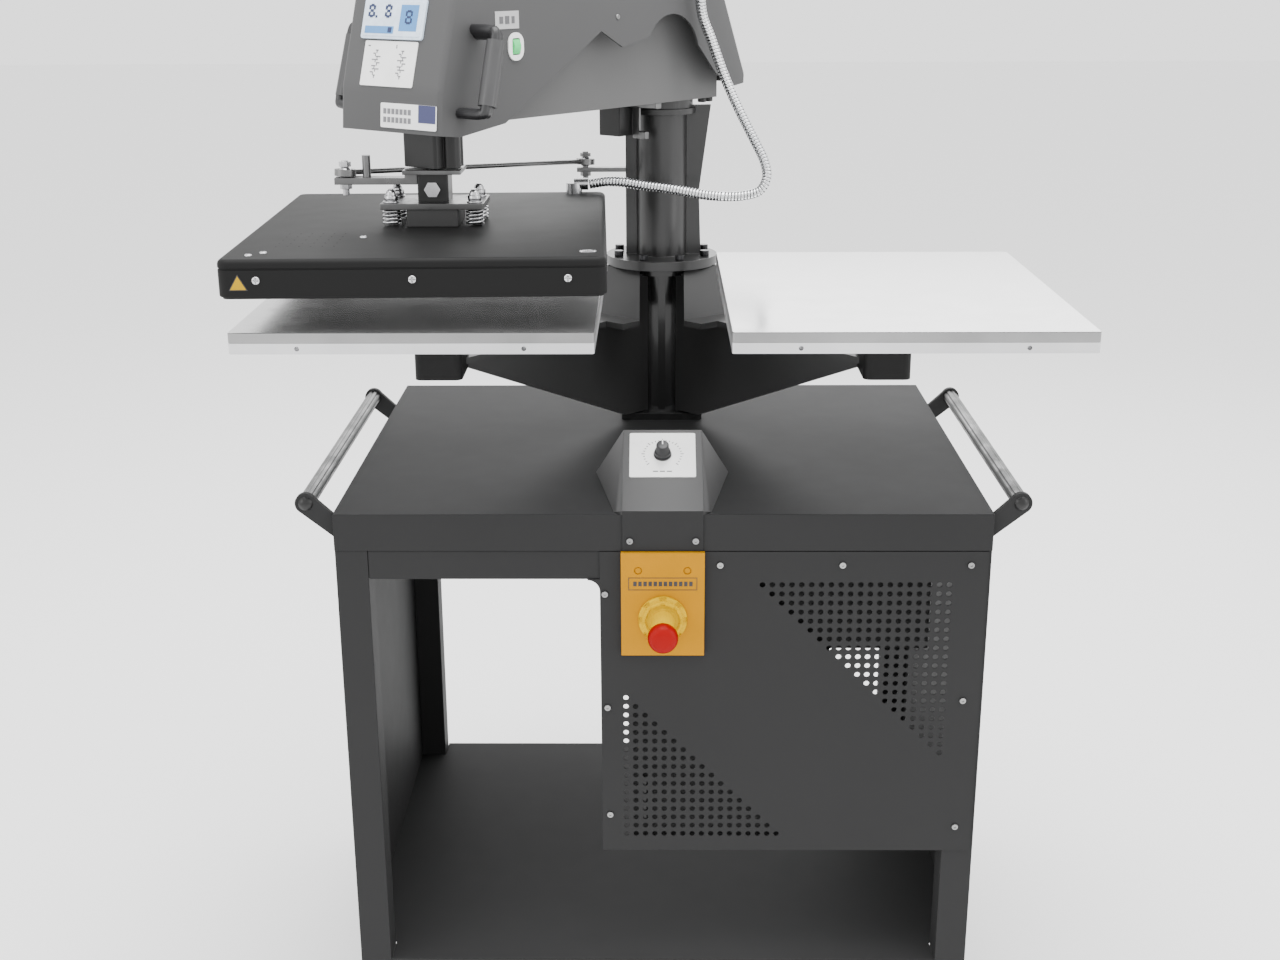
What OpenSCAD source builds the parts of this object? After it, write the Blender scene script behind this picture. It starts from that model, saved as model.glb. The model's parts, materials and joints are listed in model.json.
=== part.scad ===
// Twin-bed swing-away heat press on a wheeled stand. One column carries a swinging head, and a
// linkage keeps the heated platen square to either bed. Millimetres, +Z up.

/* [Stand] */
// Width of the stand's table top
table_w = 800; // [760:10:840]
// Depth of the stand's table top, front to back
table_d = 620; // [600:10:660]
// Height of the table top above the floor
table_h = 800; // [780:10:840]
// Height of the folded lip round the table top
lip_h = 47; // [40:1:50]
// Width of a leg's square tube
leg_w = 40; // [36:1:44]
// Height of the lower shelf above the floor
shelf_z = 175; // [165:5:200]

/* [Beds] */
// Width of each lower bed
bed_w = 400; // [380:10:400]
// Depth of each lower bed, front to back
bed_d = 500; // [460:10:500]
// Thickness of each of the bed's two layers
bed_layer = 12; // [10:1:12]
// Height of a bed's top face above the table top
bed_rise = 252; // [250:1:256]

/* [Head] */
// Distance from the column's axis to the ram's axis
arm_r = 445; // [445:1:447]
// Angle of the arm to each side of straight ahead
arm_angle = 38.2; // [37.5:0.1:38.5]
// Width of the head's cover
cover_w = 166; // [160:2:170]
// Height of the head's top above the floor
head_top = 1500; // [1480:5:1540]

/* [Platen] */
// Width of the heated platen's cover
platen_w = 420; // [400:5:420]
// Depth of the heated platen's cover
platen_d = 520; // [500:5:520]
// Height of the platen with its cover
platen_h = 43; // [41:1:44]
// Small turn of the platen on its ram, as it was bolted up
platen_turn = 2; // [0:0.5:2.5]
// Gap between the raised platen and the bed
open_gap = 38; // [36:1:40]

/* [Ventilation] */
// Pitch of the round holes in the front panel
hole_pitch = 12; // [12:0.5:12.5]
// Diameter of each hole in the front panel
hole_d = 7; // [5:0.5:8]

/* [Casters] */
// Diameter of a caster's wheel
wheel_d = 75; // [70:1:76]
// Distance that a caster's axle trails behind its pivot
caster_trail = 30; // [26:1:32]

/* [Hidden] */
$fn = 48;

run = 0.05;
gap = 0.3;
sheet = 2;
steel = "#3f4246";
dark = "#1c1d1f";
zinc = "#b9bcc0";
alu = "#d3d5d8";

// The column stands at column_x, column_y, so that the whole press is centred on the origin.
bed_x = 275;
ram_x = -arm_r * sin(arm_angle);
ram_y = -arm_r * cos(arm_angle);
platen_shift = [-4, 8];
reach_x = platen_w / 2 * cos(platen_turn) + platen_d / 2 * sin(platen_turn);
reach_y = platen_w / 2 * sin(platen_turn) + platen_d / 2 * cos(platen_turn);
table_front = -477;
table_back = table_front + table_d;
column_x = -(bed_x + bed_w / 2 + ram_x + platen_shift[0] - reach_x) / 2;
column_y = -(table_back + ram_y + platen_shift[1] - reach_y) / 2;

// Heights, from the floor up
caster_h = 110;
lip_z = table_h - lip_h;
rail_h = 38;
bed_top = table_h + bed_rise;
bed_bottom = bed_top - 2 * bed_layer;
flange_z = table_h + 221;
flange_h = 13;
foot_h = 10;
hub_r = 41;
column_top = 1240;
arm_z = 1252;
arm_top = 1368;
platen_bottom = bed_top + open_gap;
platen_top = platen_bottom + platen_h;
boss_h = 21;
plate_h = 7;
clevis_z = platen_top + boss_h + plate_h;
crank_z = clevis_z + 33;
crank_h = 5;
guide_z = crank_z + crank_h + 2;

// Linkage that keeps the platen square: two equal cranks and the rod between them
crank_r = 108;
stud_r = 4;
ball_r = 8;
eye_r = 13;
eye_h = 8;
rod_low_z = 1164.5;
rod_high_z = crank_z - 0.5;

shaft_r = 30;
ram_r = 10;
piston_r = 28;

front_y = table_front - sheet;
panel_left = -77;
panel_right = 396;
panel_bottom = 341;
// Screws along the front panel's edges, and the two in the hood's front strip
panel_screws = [
    [70, 735], [219, 735], [375, 735], [-71, 697], [-69, 544], [-67, 393], [375, 554], [375, 376]
];
hood_screws = [[-40, 767], [40, 767]];

hood_w = 98;
hood_back = -362;
hood_rise = 73;
hood_front = 5;
hood_slope = atan((hood_rise - hood_front) / (hood_back - 1 - front_y));
knob_along = 92;

estop_z = 667;
estop_face = front_y - 5;

handle_x = 433;
handle_z = 811;
handle_front = -465;
handle_back = 32;

// Conduit route, drawn in the column's frame: down from the cheek, under and along to the platen
route = [
    [50, -100, 1415], [50, -100, 1394], [54, -93, 1365], [65, -87, 1337], [84, -86, 1287],
    [105, -88, 1242], [126, -92, 1202], [139, -94, 1176], [143, -95, 1154], [134, -96, 1136],
    [112, -96, 1129], [84, -96, 1128], [52, -95, 1131], [12, -94, 1138], [-26, -93, 1143],
    [-53, -92, 1147], [-76, -92, 1148], [-99, -92, 1145]
];
conduit_r = 6.8;
conduit_split = 11;

// Puts a part drawn about the column's axis in its place in the part's own frame
module place() translate([column_x, column_y, 0]) children();

// The head's frame: +X along the arm from the column, +Y to the operator's side, +Z up
module on_arm() place() rotate([0, 0, 270 - arm_angle]) children();

// The ram's frame: its origin is on the ram's axis, square to the stand
module on_ram() place() translate([ram_x, ram_y, 0]) children();

// The platen's frame, turned a little on the ram
module on_platen() place() translate([ram_x + platen_shift[0], ram_y + platen_shift[1], 0])
    rotate([0, 0, platen_turn]) children();

// The control panel's frame: +Y up the hood's slope from its front edge, +Z out of it
module on_slope() place() translate([0, front_y, table_h + hood_front])
    rotate([hood_slope, 0, 0]) children();

// Box between two corners
module slab(low, high) translate(low) cube(high - low);

// Plate with round corners, lying flat with its base at z = 0
module round_plate(w, d, h, r) linear_extrude(h) {
    square([w - 2 * r, d], center = true);
    square([w, d - 2 * r], center = true);
    for (x = [-1, 1], y = [-1, 1]) translate([x * (w / 2 - r), y * (d / 2 - r)]) circle(r);
}

// Ring about +Z
module ring(outer, inner, h) difference() {
    cylinder(r = outer, h = h);
    translate([0, 0, -1]) cylinder(r = inner, h = h + 2);
}

// Screw with a round head, driven along -Z at the origin
module pan_screw(head_r, head_h, shank_r, shank) {
    difference() {
        cylinder(r = head_r, h = head_h);
        translate([0, 0, head_h / 2]) cylinder(r = head_r * 0.45, h = head_h, $fn = 6);
    }
    translate([0, 0, -shank]) cylinder(r = shank_r, h = shank);
}

// Hexagon bolt head or nut, standing on z = 0
module hex_head(across, h) cylinder(d = across / cos(30), h = h, $fn = 6);

// Stretch of a tube along a list of points, cut square to the whole path at both ends
function along(p, i) = let(a = p[max(i - 1, 0)], b = p[min(i + 1, len(p) - 1)]) (b - a) / norm(b - a);
function side_of(t) = let(s = cross(t, [0, 1, 0])) s / norm(s);
module swept_tube(p, first, last, r, sides) {
    n = last - first + 1;
    points = [for (i = [first:last], k = [0:sides - 1])
        let(t = along(p, i), s = side_of(t), u = cross(t, s), a = 360 * k / sides)
        p[i] + r * (cos(a) * s + sin(a) * u)];
    walls = [for (i = [0:n - 2], k = [0:sides - 1])
        let(j = (k + 1) % sides) [i * sides + k, (i + 1) * sides + k, (i + 1) * sides + j, i * sides + j]];
    ends = [[for (k = [0:sides - 1]) k], [for (k = [sides - 1:-1:0]) (n - 1) * sides + k]];
    polyhedron(points = points, faces = concat(walls, ends), convexity = 4);
}
// Point i of a Catmull-Rom curve through the route, each span cut into a few pieces
function spline(p, i, t) = let(
    a = p[max(i - 1, 0)], b = p[i], c = p[i + 1], d = p[min(i + 2, len(p) - 1)])
    0.5 * (2 * b + (c - a) * t + (2 * a - 5 * b + 4 * c - d) * t * t + (3 * b - a - 3 * c + d) * t * t * t);
function curve(p, from, to, cuts) = [
    for (i = [from:to - 1], k = [0:cuts - 1]) spline(p, i, k / cuts), p[to]];

// ---- Stand ----

module tabletop() color(steel) place() difference() {
    slab([-table_w / 2, table_front, lip_z], [table_w / 2, table_back, table_h]);
    slab([-table_w / 2 + sheet, table_front + sheet, lip_z - 1],
         [table_w / 2 - sheet, table_back - sheet, table_h - 3]);
}

leg_front = table_front + sheet;
leg_x = table_w / 2 - leg_w;
leg_ys = [leg_front, table_back - leg_w];

module stand_legs() color(steel) place()
    for (x = [-table_w / 2, leg_x], y = leg_ys) difference() {
        slab([x, y, caster_h], [x + leg_w, y + leg_w, lip_z]);
        slab([x + 2.5, y + 2.5, caster_h - 1], [x + leg_w - 2.5, y + leg_w - 2.5, lip_z + 1]);
    }

module stand_rails() color(steel) place() {
    for (y = [leg_front, table_back - 25])
        slab([-leg_x, y, rail_z], [leg_x, y + 25, lip_z]);
    for (x = [-table_w / 2, table_w / 2 - 25])
        slab([x, leg_front + leg_w, rail_z], [x + 25, table_back - leg_w, lip_z]);
}

module side_panels() color(steel) place()
    for (x = [-table_w / 2, table_w / 2 - sheet])
        slab([x, leg_front + leg_w, shelf_z], [x + sheet, table_back - leg_w, lip_z - rail_h]);

// Width of the bend reliefs in the shelf's front lip, beside the front legs
relief_w = 9;
module lower_shelf() color(steel) place() difference() {
    slab([-table_w / 2, leg_front, shelf_z - 38], [table_w / 2, table_back, shelf_z]);
    slab([-table_w / 2 + sheet, leg_front + sheet, shelf_z - 39],
         [table_w / 2 - sheet, table_back - sheet, shelf_z - sheet]);
    for (x = [-table_w / 2 - 1, leg_x - 1], y = [leg_front - 1, table_back - leg_w - 1])
        slab([x, y, shelf_z - 40], [x + leg_w + 2, y + leg_w + 2, shelf_z + 1]);
    for (x = [-leg_x, leg_x - relief_w])
        slab([x, leg_front - 1, shelf_z - 40], [x + relief_w, leg_front + 3, shelf_z - 3]);
}

// Rounded corner between the panel and the rail
corner_r = 15;
rail_z = lip_z - rail_h;
// Sheet panel over the right of the front, with two triangular fields of round holes
module perforated_panel() color(steel) place() translate([0, table_front + sheet, 0])
    rotate([90, 0, 0]) linear_extrude(sheet) difference() {
        union() {
            translate([panel_left, panel_bottom])
                square([panel_right - panel_left, lip_z - 1 - panel_bottom]);
            translate([panel_left - corner_r, rail_z - corner_r]) difference() {
                square([corner_r + 1, corner_r + 1]);
                circle(corner_r);
            }
        }
        for (row = [0:19], col = [row:19])
            translate([122 + col * hole_pitch, 709 - row * hole_pitch]) circle(d = hole_d, $fn = 16);
        for (row = [0:16], col = [0:16 - row])
            translate([-46 + col * hole_pitch, 365 + row * hole_pitch]) circle(d = hole_d, $fn = 16);
        for (s = panel_screws) translate(s) circle(r = 2.1);
        translate([-43, 636]) square([86, 79]);
    }

module front_screws() color(zinc) place() {
    for (s = panel_screws) translate([s[0], table_front, s[1]])
        rotate([90, 0, 0]) pan_screw(3.9, 2.4, 2, sheet);
    for (s = hood_screws) translate([s[0], front_y, s[1]])
        rotate([90, 0, 0]) pan_screw(3.9, 2.4, 2, sheet);
}

// Folded hood that tilts the selector up to the operator, with a strip down over the lip
module hood_solid(t) hull() {
    slab([-hood_w / 2 + t, front_y + t, table_h],
         [hood_w / 2 - t, front_y + t + 0.1, table_h + hood_front - t]);
    slab([-hood_w / 2 + t, hood_back - 1 - t, table_h + hood_rise - 1 - t],
         [hood_w / 2 - t, hood_back - t, table_h + hood_rise - t]);
    slab([-59 + t, table_front + 8 + t, table_h], [59 - t, table_front + 9 + t, table_h + 0.5]);
    slab([-86 + t, -309 - t, table_h], [86 - t, -308 - t, table_h + 0.5]);
}
module console_hood() color("#55585c") place() {
    difference() {
        hood_solid(0);
        translate([0, 0, -0.01]) hood_solid(2);
        translate([0, front_y, table_h + hood_front]) rotate([hood_slope, 0, 0])
            translate([0, knob_along, -8]) cylinder(r = 11.2, h = 20);
    }
    difference() {
        slab([-hood_w / 2, front_y, lip_z + 1], [hood_w / 2, table_front, table_h]);
        for (s = hood_screws) translate([s[0], front_y - 1, s[1]])
            rotate([-90, 0, 0]) cylinder(r = 2.1, h = sheet + 2);
    }
}

module selector_plate() color("white") on_slope() difference() {
    translate([0, 91.5, 0]) round_plate(82, 74, 1, 2);
    translate([0, knob_along, -1]) cylinder(r = 11.2, h = 4);
}

// Rotary switch: its body hangs under the hood and its neck takes the knob's spindle
module selector_switch() color(dark) on_slope() translate([0, knob_along, 0]) difference() {
    union() {
        translate([0, 0, -36]) round_plate(30, 30, 30, 3);
        translate([0, 0, -6]) cylinder(r = 11, h = 9);
    }
    translate([0, 0, -20]) cylinder(r = 3 + run, h = 40);
}

module selector_knob() color(dark) on_slope() translate([0, knob_along, 3.3]) {
    cylinder(r = 10, h = 4);
    cylinder(r = 8, h = 16);
    slab([-2.5, -10, 4], [2.5, 10, 17]);
    translate([0, 0, -19]) cylinder(r = 3, h = 20);
}

module estop_enclosure() color("#e8a414") place() {
    difference() {
        union() {
            slab([-51, estop_face, 618], [51, table_front, lip_z]);
            slab([-42, table_front, 637], [42, table_front + 55, rail_z - 1]);
        }
        slab([-39, table_front - 2, 640], [39, table_front + 52, rail_z - 4]);
        translate([0, estop_face - 1, estop_z]) rotate([-90, 0, 0]) cylinder(r = 11.2, h = 12);
        for (x = [-30, 30]) translate([x, estop_face - 1, 730])
            rotate([-90, 0, 0]) cylinder(r = 5, h = 3);
    }
    for (x = [-30, 30]) translate([x, estop_face + 2, 730])
        rotate([90, 0, 0]) cylinder(r = 3.6, h = 1);
}

// Guard ring with the switch's contact block behind it
module estop_collar() color("#ffd51c") place() translate([0, estop_face, estop_z])
    rotate([90, 0, 0]) {
        difference() {
            union() {
                cylinder(r = 30, h = 5);
                translate([0, 0, 5]) cylinder(r = 25, h = 5);
                cylinder(r = 14, h = 44);
                translate([0, 0, -20]) cylinder(r = 11, h = 22);
                translate([0, 0, -42]) round_plate(34, 40, 22, 2);
            }
            translate([0, 0, -30]) cylinder(r = 6 + run, h = 80);
        }
    }

module estop_button() color("#d3241c") place() translate([0, estop_face, estop_z])
    rotate([90, 0, 0]) {
        translate([0, 0, -14]) cylinder(r = 6, h = 64);
        translate([0, 0, 50]) cylinder(r1 = 15, r2 = 18.3, h = 5, $fn = 40);
        translate([0, 0, 55]) cylinder(r = 18.3, h = 9);
        translate([0, 0, 64]) cylinder(r1 = 18.3, r2 = 11, h = 7, $fn = 40);
    }

// Switchgear case on the inner side of the panel, with the mains inlet in its back
module control_box() color("#6a6d70") place() difference() {
    back = table_front + 98;
    union() {
        slab([-40, table_front + 12, 350], [208, back, 625]);
        slab([100, table_front + 12, 619], [330, back - 30, rail_z - 3]);
        for (x = [-30, 190]) slab([x, table_front + sheet, 380], [x + 10, table_front + 12, 440]);
        slab([101, back, 436], [149, back + 12, 464]);
    }
    slab([113, back + 2, 442], [137, back + 22, 458]);
}

module air_regulator() color(zinc) place() translate([330, 60, shelf_z]) {
    slab([-25, -20, 0], [25, 20, 5]);
    translate([0, 0, 5]) cylinder(r = 17, h = 60);
    translate([0, 0, 65]) round_plate(46, 40, 26, 4);
    translate([0, 0, 91]) cylinder(r = 14, h = 32);
    difference() {
        translate([0, 18, 78]) rotate([-90, 0, 0]) cylinder(r = 9, h = 22);
        translate([0, 26, 78]) rotate([-90, 0, 0]) cylinder(r = 4.75, h = 20);
    }
}

// Straps with a rounded end, one at each end of a handle
module handle_brackets() color(dark) place()
    for (side = [-1, 1], y = [handle_front, handle_back]) difference() {
        translate([0, y + 4, 0]) rotate([90, 0, 0]) linear_extrude(8) {
            translate([side * handle_x, handle_z]) circle(13);
            polygon([
                [side * table_w / 2, 768], [side * (handle_x + 7), handle_z - 10.9],
                [side * (handle_x - 6), handle_z + 11.5], [side * table_w / 2, 797]]);
        }
        translate([side * handle_x, y + 10, handle_z]) rotate([90, 0, 0]) cylinder(r = 4.1, h = 20);
    }

module side_handles() color(zinc) place()
    for (side = [-1, 1]) translate([side * handle_x, handle_back - 4, handle_z])
        rotate([90, 0, 0]) difference() {
            cylinder(r = 10, h = handle_back - handle_front - 8);
            for (a = [0:45:315]) rotate([0, 0, a]) translate([10.6, 0, -1]) cylinder(r = 2, h = 500);
            translate([0, 0, -1]) cylinder(r = 4.1, h = 500);
        }

module handle_bolts() color(dark) place()
    for (side = [-1, 1], end = [[handle_front - 4, 90], [handle_back + 4, -90]])
        translate([side * handle_x, end[0], handle_z]) rotate([end[1], 0, 0]) {
            intersection() {
                translate([0, 0, -6]) sphere(r = 11);
                cylinder(r = 9, h = 6);
            }
            translate([0, 0, -30]) cylinder(r = 4, h = 30.5);
        }

// ---- Casters ----

caster_at = [for (y = [leg_front + 38, table_back - 38], x = [-1, 1]) [x * (table_w / 2 - 38), y]];
fork_top = 99.7;
axle_r = 5;

module caster_mounts() color(zinc) place() for (c = caster_at) translate([c[0], c[1], 0]) {
    translate([0, 0, 106]) round_plate(76, 76, 4, 6);
    translate([0, 0, 100]) cylinder(r = 24, h = 6);
    translate([0, 0, 88]) cylinder(r = 6, h = 12);
    translate([0, 0, 84]) cylinder(r = 10, h = 7.7);
}

// Pressed fork that turns on the mount's kingpin, with its axle
module caster_fork(i) color(zinc) place() translate([caster_at[i][0], caster_at[i][1], 0]) {
    wheel_r = wheel_d / 2;
    difference() {
        translate([0, 0, 92]) cylinder(r = 25, h = fork_top - 92);
        translate([0, 0, 80]) cylinder(r = 6 + run, h = 30);
    }
    for (y = [-16.5, 13.5]) translate([0, y + 3, 0]) rotate([90, 0, 0]) linear_extrude(3) polygon([
        [-17, 94], [17, 94], [14, 78], [-caster_trail + 10, wheel_r - 9],
        [-caster_trail - 8, wheel_r - 9], [-caster_trail - 10, wheel_r + 6]]);
    translate([-caster_trail, 19, wheel_r]) rotate([90, 0, 0]) cylinder(r = axle_r, h = 38);
    for (y = [-21, 16.5]) translate([-caster_trail, y + 4.5, wheel_r])
        rotate([90, 0, 0]) hex_head(14, 4.5);
}

module caster_wheel(i) color(dark) place()
    translate([caster_at[i][0] - caster_trail, caster_at[i][1], wheel_d / 2])
        rotate([90, 0, 0]) translate([0, 0, -12]) difference() {
            cylinder(d = wheel_d, h = 24, $fn = 64);
            translate([0, 0, -1]) cylinder(r = axle_r + run, h = 26);
            for (z = [-1, 20]) translate([0, 0, z]) difference() {
                cylinder(r = 26, h = 5);
                translate([0, 0, -1]) cylinder(r = 11, h = 7);
            }
        }

module caster_fork_fl() caster_fork(0);
module caster_fork_fr() caster_fork(1);
module caster_fork_bl() caster_fork(2);
module caster_fork_br() caster_fork(3);
module caster_wheel_fl() caster_wheel(0);
module caster_wheel_fr() caster_wheel(1);
module caster_wheel_bl() caster_wheel(2);
module caster_wheel_br() caster_wheel(3);

// ---- Pedestal, beds and column ----

module pedestal() color(dark) place() {
    translate([0, 0, table_h]) round_plate(116, 116, foot_h, 6);
    translate([0, 0, table_h + foot_h]) cylinder(r = hub_r, h = flange_z - table_h - foot_h - 12);
    translate([0, 0, flange_z - 12]) cylinder(r = 52, h = 12);
    slab([-5, -hub_r - 6, table_h + foot_h], [5, 2 - hub_r, flange_z - 12]);
    for (x = [-48, 48], y = [-14, 14]) translate([x, y, table_h + foot_h]) hex_head(13, 6);
}

// Gusseted arms that carry the beds, one towards each: a web, a bent plate over its root, a flange
// along its top, and a block and plate under the bed
arm_low = 946;
arm_high = 962;
arm_end = arm_r + 20;
plate_cut = 31;
root = 41.1;
bend = [[53, 1012], [65, 1012], [80, 984], [106, 952], [150, arm_high - 8]];
module pedestal_arms() color(dark) place() for (a = [-arm_angle, arm_angle]) {
    rotate([0, 0, a - 90]) {
        translate([0, 7, 0]) rotate([90, 0, 0]) linear_extrude(14) polygon(concat(
            [[root, 1008], [root, table_h + foot_h], [92, table_h + foot_h + 3], [arm_r - 36, arm_low],
             [arm_end, arm_low], [arm_end, arm_high - 8]],
            [for (i = [len(bend) - 1:-1:0]) bend[i]], [[53, 1008]]));
        slab([150, -20, arm_high - 8], [arm_end, 20, arm_high]);
    }
    difference() {
        rotate([0, 0, a - 90]) translate([0, 50, 0]) rotate([90, 0, 0]) linear_extrude(100)
            polygon(concat(bend, [[150, arm_high], [110, 960], [87, 990], [69, 1020], [53, 1020]]));
        slab([-plate_cut, -130, arm_low], [plate_cut, 0, 1030]);
    }
    translate([arm_r * sin(a), -arm_r * cos(a), 0]) {
        translate([0, 0, arm_low]) round_plate(58, 92, bed_bottom - 10 - arm_low, 9);
        slab([-60, -80, bed_bottom - 10], [60, 80, bed_bottom]);
    }
}

// Shape of one bed layer, with two small holes in its front edge
module bed_layer_plate(z, holes) for (side = [-1, 1])
    translate([side * bed_x, ram_y, z]) difference() {
        round_plate(bed_w, bed_d, bed_layer, 3);
        if (holes) for (x = [-125, 123]) translate([x, -bed_d / 2 - 1, bed_layer / 2])
            rotate([-90, 0, 0]) cylinder(r = 2.6, h = 16);
    }
module bed_bases() color(alu) place() bed_layer_plate(bed_bottom, true);
module bed_tops() color("#e8e9ea") place() bed_layer_plate(bed_bottom + bed_layer, false);

bolt_circle = 66;
// Distance of the left rib's edge from the column's axis
rib_x = 51;

module column() color("#26282b") place() {
    difference() {
        union() {
            translate([0, 0, flange_z]) cylinder(r = 79.5, h = flange_h);
            translate([0, 0, flange_z + flange_h]) cylinder(r = 36, h = column_top - flange_z - flange_h);
            translate([0, 6, 0]) rotate([90, 0, 0]) linear_extrude(12) polygon([
                [-rib_x, flange_z + flange_h], [56, flange_z + flange_h], [53, 1124],
                [69, column_top + 3], [-rib_x, column_top + 3]]);
            translate([0, 0, column_top - 8]) cylinder(r = 48, h = 8);
            translate([0, 0, column_top]) cylinder(r = 44, h = arm_z - gap - column_top);
            translate([0, 0, column_top]) cylinder(r = shaft_r, h = 1352 - column_top);
        }
        for (a = [22.5:45:340]) rotate([0, 0, a]) translate([bolt_circle, 0, flange_z - 1])
            cylinder(r = 4.4, h = 20);
    }
}

module column_bolts() color(dark) place() {
    for (a = [22.5:45:340]) rotate([0, 0, a]) translate([bolt_circle, 0, flange_z + flange_h]) {
        cylinder(r = 6.5, h = 8);
        translate([0, 0, -flange_h]) cylinder(r = 4.3, h = flange_h);
    }
    translate([0, 0, 1352]) cylinder(r = 40, h = 8);
    translate([0, 0, 1360]) hex_head(30, 12);
}

module column_crank() color(zinc) place() {
    slab([-crank_r - 12, -8, rod_low_z - 14], [-rib_x, 8, rod_low_z - 8]);
    translate([-crank_r, 0, rod_low_z - 27]) cylinder(r = stud_r, h = 41);
    translate([-crank_r, 0, rod_low_z - 20]) hex_head(13, 6);
    translate([-crank_r, 0, rod_low_z + 7]) hex_head(13, 5);
}

// ---- Swinging head ----

module swing_arm() color("#9a9da1") on_arm() difference() {
    union() {
        slab([-62, -50, arm_z], [505, 50, arm_z + 8]);
        for (rib = [[-50, 1290, 1316], [300, 1318, 1360], [497, 1262, 1316]])
            slab([rib[0], 3 - cover_w / 2, rib[1]], [rib[0] + 6, cover_w / 2 - 3, rib[2]]);
        for (y = [-44, 50]) translate([0, y, 0]) rotate([90, 0, 0]) linear_extrude(6) polygon([
            [-62, arm_z + 8], [505, arm_z + 8], [505, 1290], [484, arm_top], [-38, arm_top], [-62, 1316]]);
        translate([0, 0, arm_z]) cylinder(r = 44, h = 92);
    }
    translate([0, 0, arm_z - 1]) cylinder(r = 35 + run, h = 100);
    translate([arm_r, 0, arm_z - 1]) cylinder(r = 14, h = 20);
}

module swing_bushes() color("#b08d45") on_arm()
    for (z = [arm_z + 0.3, arm_z + 61]) translate([0, 0, z]) ring(35, shaft_r + run, 30);

rocker_at = [386, 1340];
// Outline of the cover from the nose's foot over the top to the foot of its back
shell = [
    [517, 1247], [513, 1296], [456, head_top], [40, head_top], [12, head_top - 12], [-86, 1284], [-85, 1272]
];
function inward(p, i, t) = let(
    a = p[max(i - 1, 0)], b = p[i], c = p[min(i + 1, len(p) - 1)],
    u = i == 0 ? c - b : b - a, v = i == len(p) - 1 ? b - a : c - b,
    m = [-u[1] / norm(u), u[0] / norm(u)], n = [-v[1] / norm(v), v[0] / norm(v)],
    s = (m + n) / norm(m + n)) b + t / (s * m) * s;
// Lower edge of each cheek, with the arch over the pivot, from back to nose
arch_at = [82, 1313];
cheek_low = concat(
    [[-58, 1269], [-15, 1288]],
    [for (a = [165:-15:30]) arch_at + [58 * cos(a), 56 * sin(a)]],
    [[186, 1331], [228, 1352], [406, 1253], [482, 1243]]);

module head_cover() color("#808387") on_arm() difference() {
    union() {
        translate([0, cover_w / 2, 0]) rotate([90, 0, 0]) linear_extrude(cover_w)
            polygon(concat(shell, [for (i = [len(shell) - 1:-1:0]) inward(shell, i, 3)]));
        for (y = [cover_w / 2, -cover_w / 2 + 3]) translate([0, y, 0]) rotate([90, 0, 0])
            linear_extrude(3) polygon(concat(shell, cheek_low));
    }
    translate([rocker_at[0], cover_w / 2 + 1, rocker_at[1]]) rotate([90, 0, 0])
        round_plate(16.4, 22.4, 6, 2);
}

// Elbow on the operator's cheek that turns the conduit down
elbow_u = 47.7;
elbow_n = 101.1;
module head_elbow() color(zinc) on_arm() translate([elbow_u, 0, 0]) {
    translate([0, cover_w / 2, 1436]) rotate([-90, 0, 0]) cylinder(r = 13, h = 5);
    translate([0, cover_w / 2, 1436]) rotate([-90, 0, 0]) cylinder(r = 8, h = elbow_n - cover_w / 2);
    translate([0, elbow_n, 1415.2]) cylinder(r = 8.5, h = 29);
    translate([0, elbow_n, 1415.2]) hex_head(20, 8);
}

nose_lean = atan((513 - 456) / (head_top - 1296));
// The leaning part of the nose: +X out of it, +Y to the operator's side, +Z up along it
module on_nose() on_arm() translate([513, 0, 1296]) rotate([0, -nose_lean, 0]) children();

// The foot of the nose, in the same way
module on_foot() on_arm() translate([517, 0, 1247]) rotate([0, -atan(4 / 49), 0]) children();

module controller_display() color("#c9d6ea") on_nose() {
    translate([0, -6, 79]) rotate([0, 90, 0]) round_plate(46, 102, 3, 3);
    translate([3, -6, 79]) rotate([0, 90, 0]) round_plate(40, 95, 1, 2);
}

module nose_plates() color("white") {
    on_nose() translate([0, -5, 28]) rotate([0, 90, 0]) round_plate(52, 88, 1, 2);
    on_foot() translate([0, 34, 19]) rotate([0, 90, 0]) round_plate(28, 92, 1, 2);
}

// Grips that lean with the nose, each on two short legs
grip_low = [478, 37, 1264];
grip_high = [452, 34, 1365];
grip_tilt = atan((grip_low[0] - grip_high[0]) / (grip_high[2] - grip_low[2]));
module cheek_handles() color(dark) on_arm() for (side = [-1, 1]) {
    for (end = [grip_low + [0, 0, 6], grip_high - [0, 0, 6]])
        translate([end[0], side * (cover_w + end[1]) / 2, end[2]]) cube([22, end[1], 11], center = true);
    translate([grip_low[0], side * (cover_w / 2 + grip_low[1]), grip_low[2]])
        rotate([0, -grip_tilt, 0]) cylinder(r = 11, h = norm(grip_high - grip_low));
}

module rocker_frame() color("#e9eaea") on_arm() translate([rocker_at[0], cover_w / 2, rocker_at[1]])
    rotate([-90, 0, 0]) difference() {
        union() {
            round_plate(26, 32, 2.5, 12);
            translate([0, 0, -20]) round_plate(16, 22, 20, 2);
        }
        translate([0, 0, -16]) round_plate(13, 19, 30, 2);
    }

module rocker_switch() color("#27d35a") on_arm() translate([rocker_at[0], cover_w / 2, rocker_at[1]])
    rotate([-90, 0, 0]) intersection() {
        translate([0, 0, -6]) rotate([0, 90, 0]) cylinder(r = 11, h = 11, center = true);
        translate([0, 0, -8]) round_plate(12, 17, 30, 1.5);
    }

module air_cylinder() color(zinc) on_arm() translate([arm_r, 0, 0]) difference() {
    union() {
        translate([0, 0, arm_z + 8]) round_plate(66, 66, 14, 6);
        translate([0, 0, arm_z + 22]) cylinder(r = 32, h = 100);
        translate([0, 0, arm_z + 122]) round_plate(66, 66, 12, 6);
    }
    translate([0, 0, arm_z]) cylinder(r = ram_r + run, h = 30);
    translate([0, 0, arm_z + 22]) cylinder(r = piston_r + run, h = 94);
}

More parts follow.
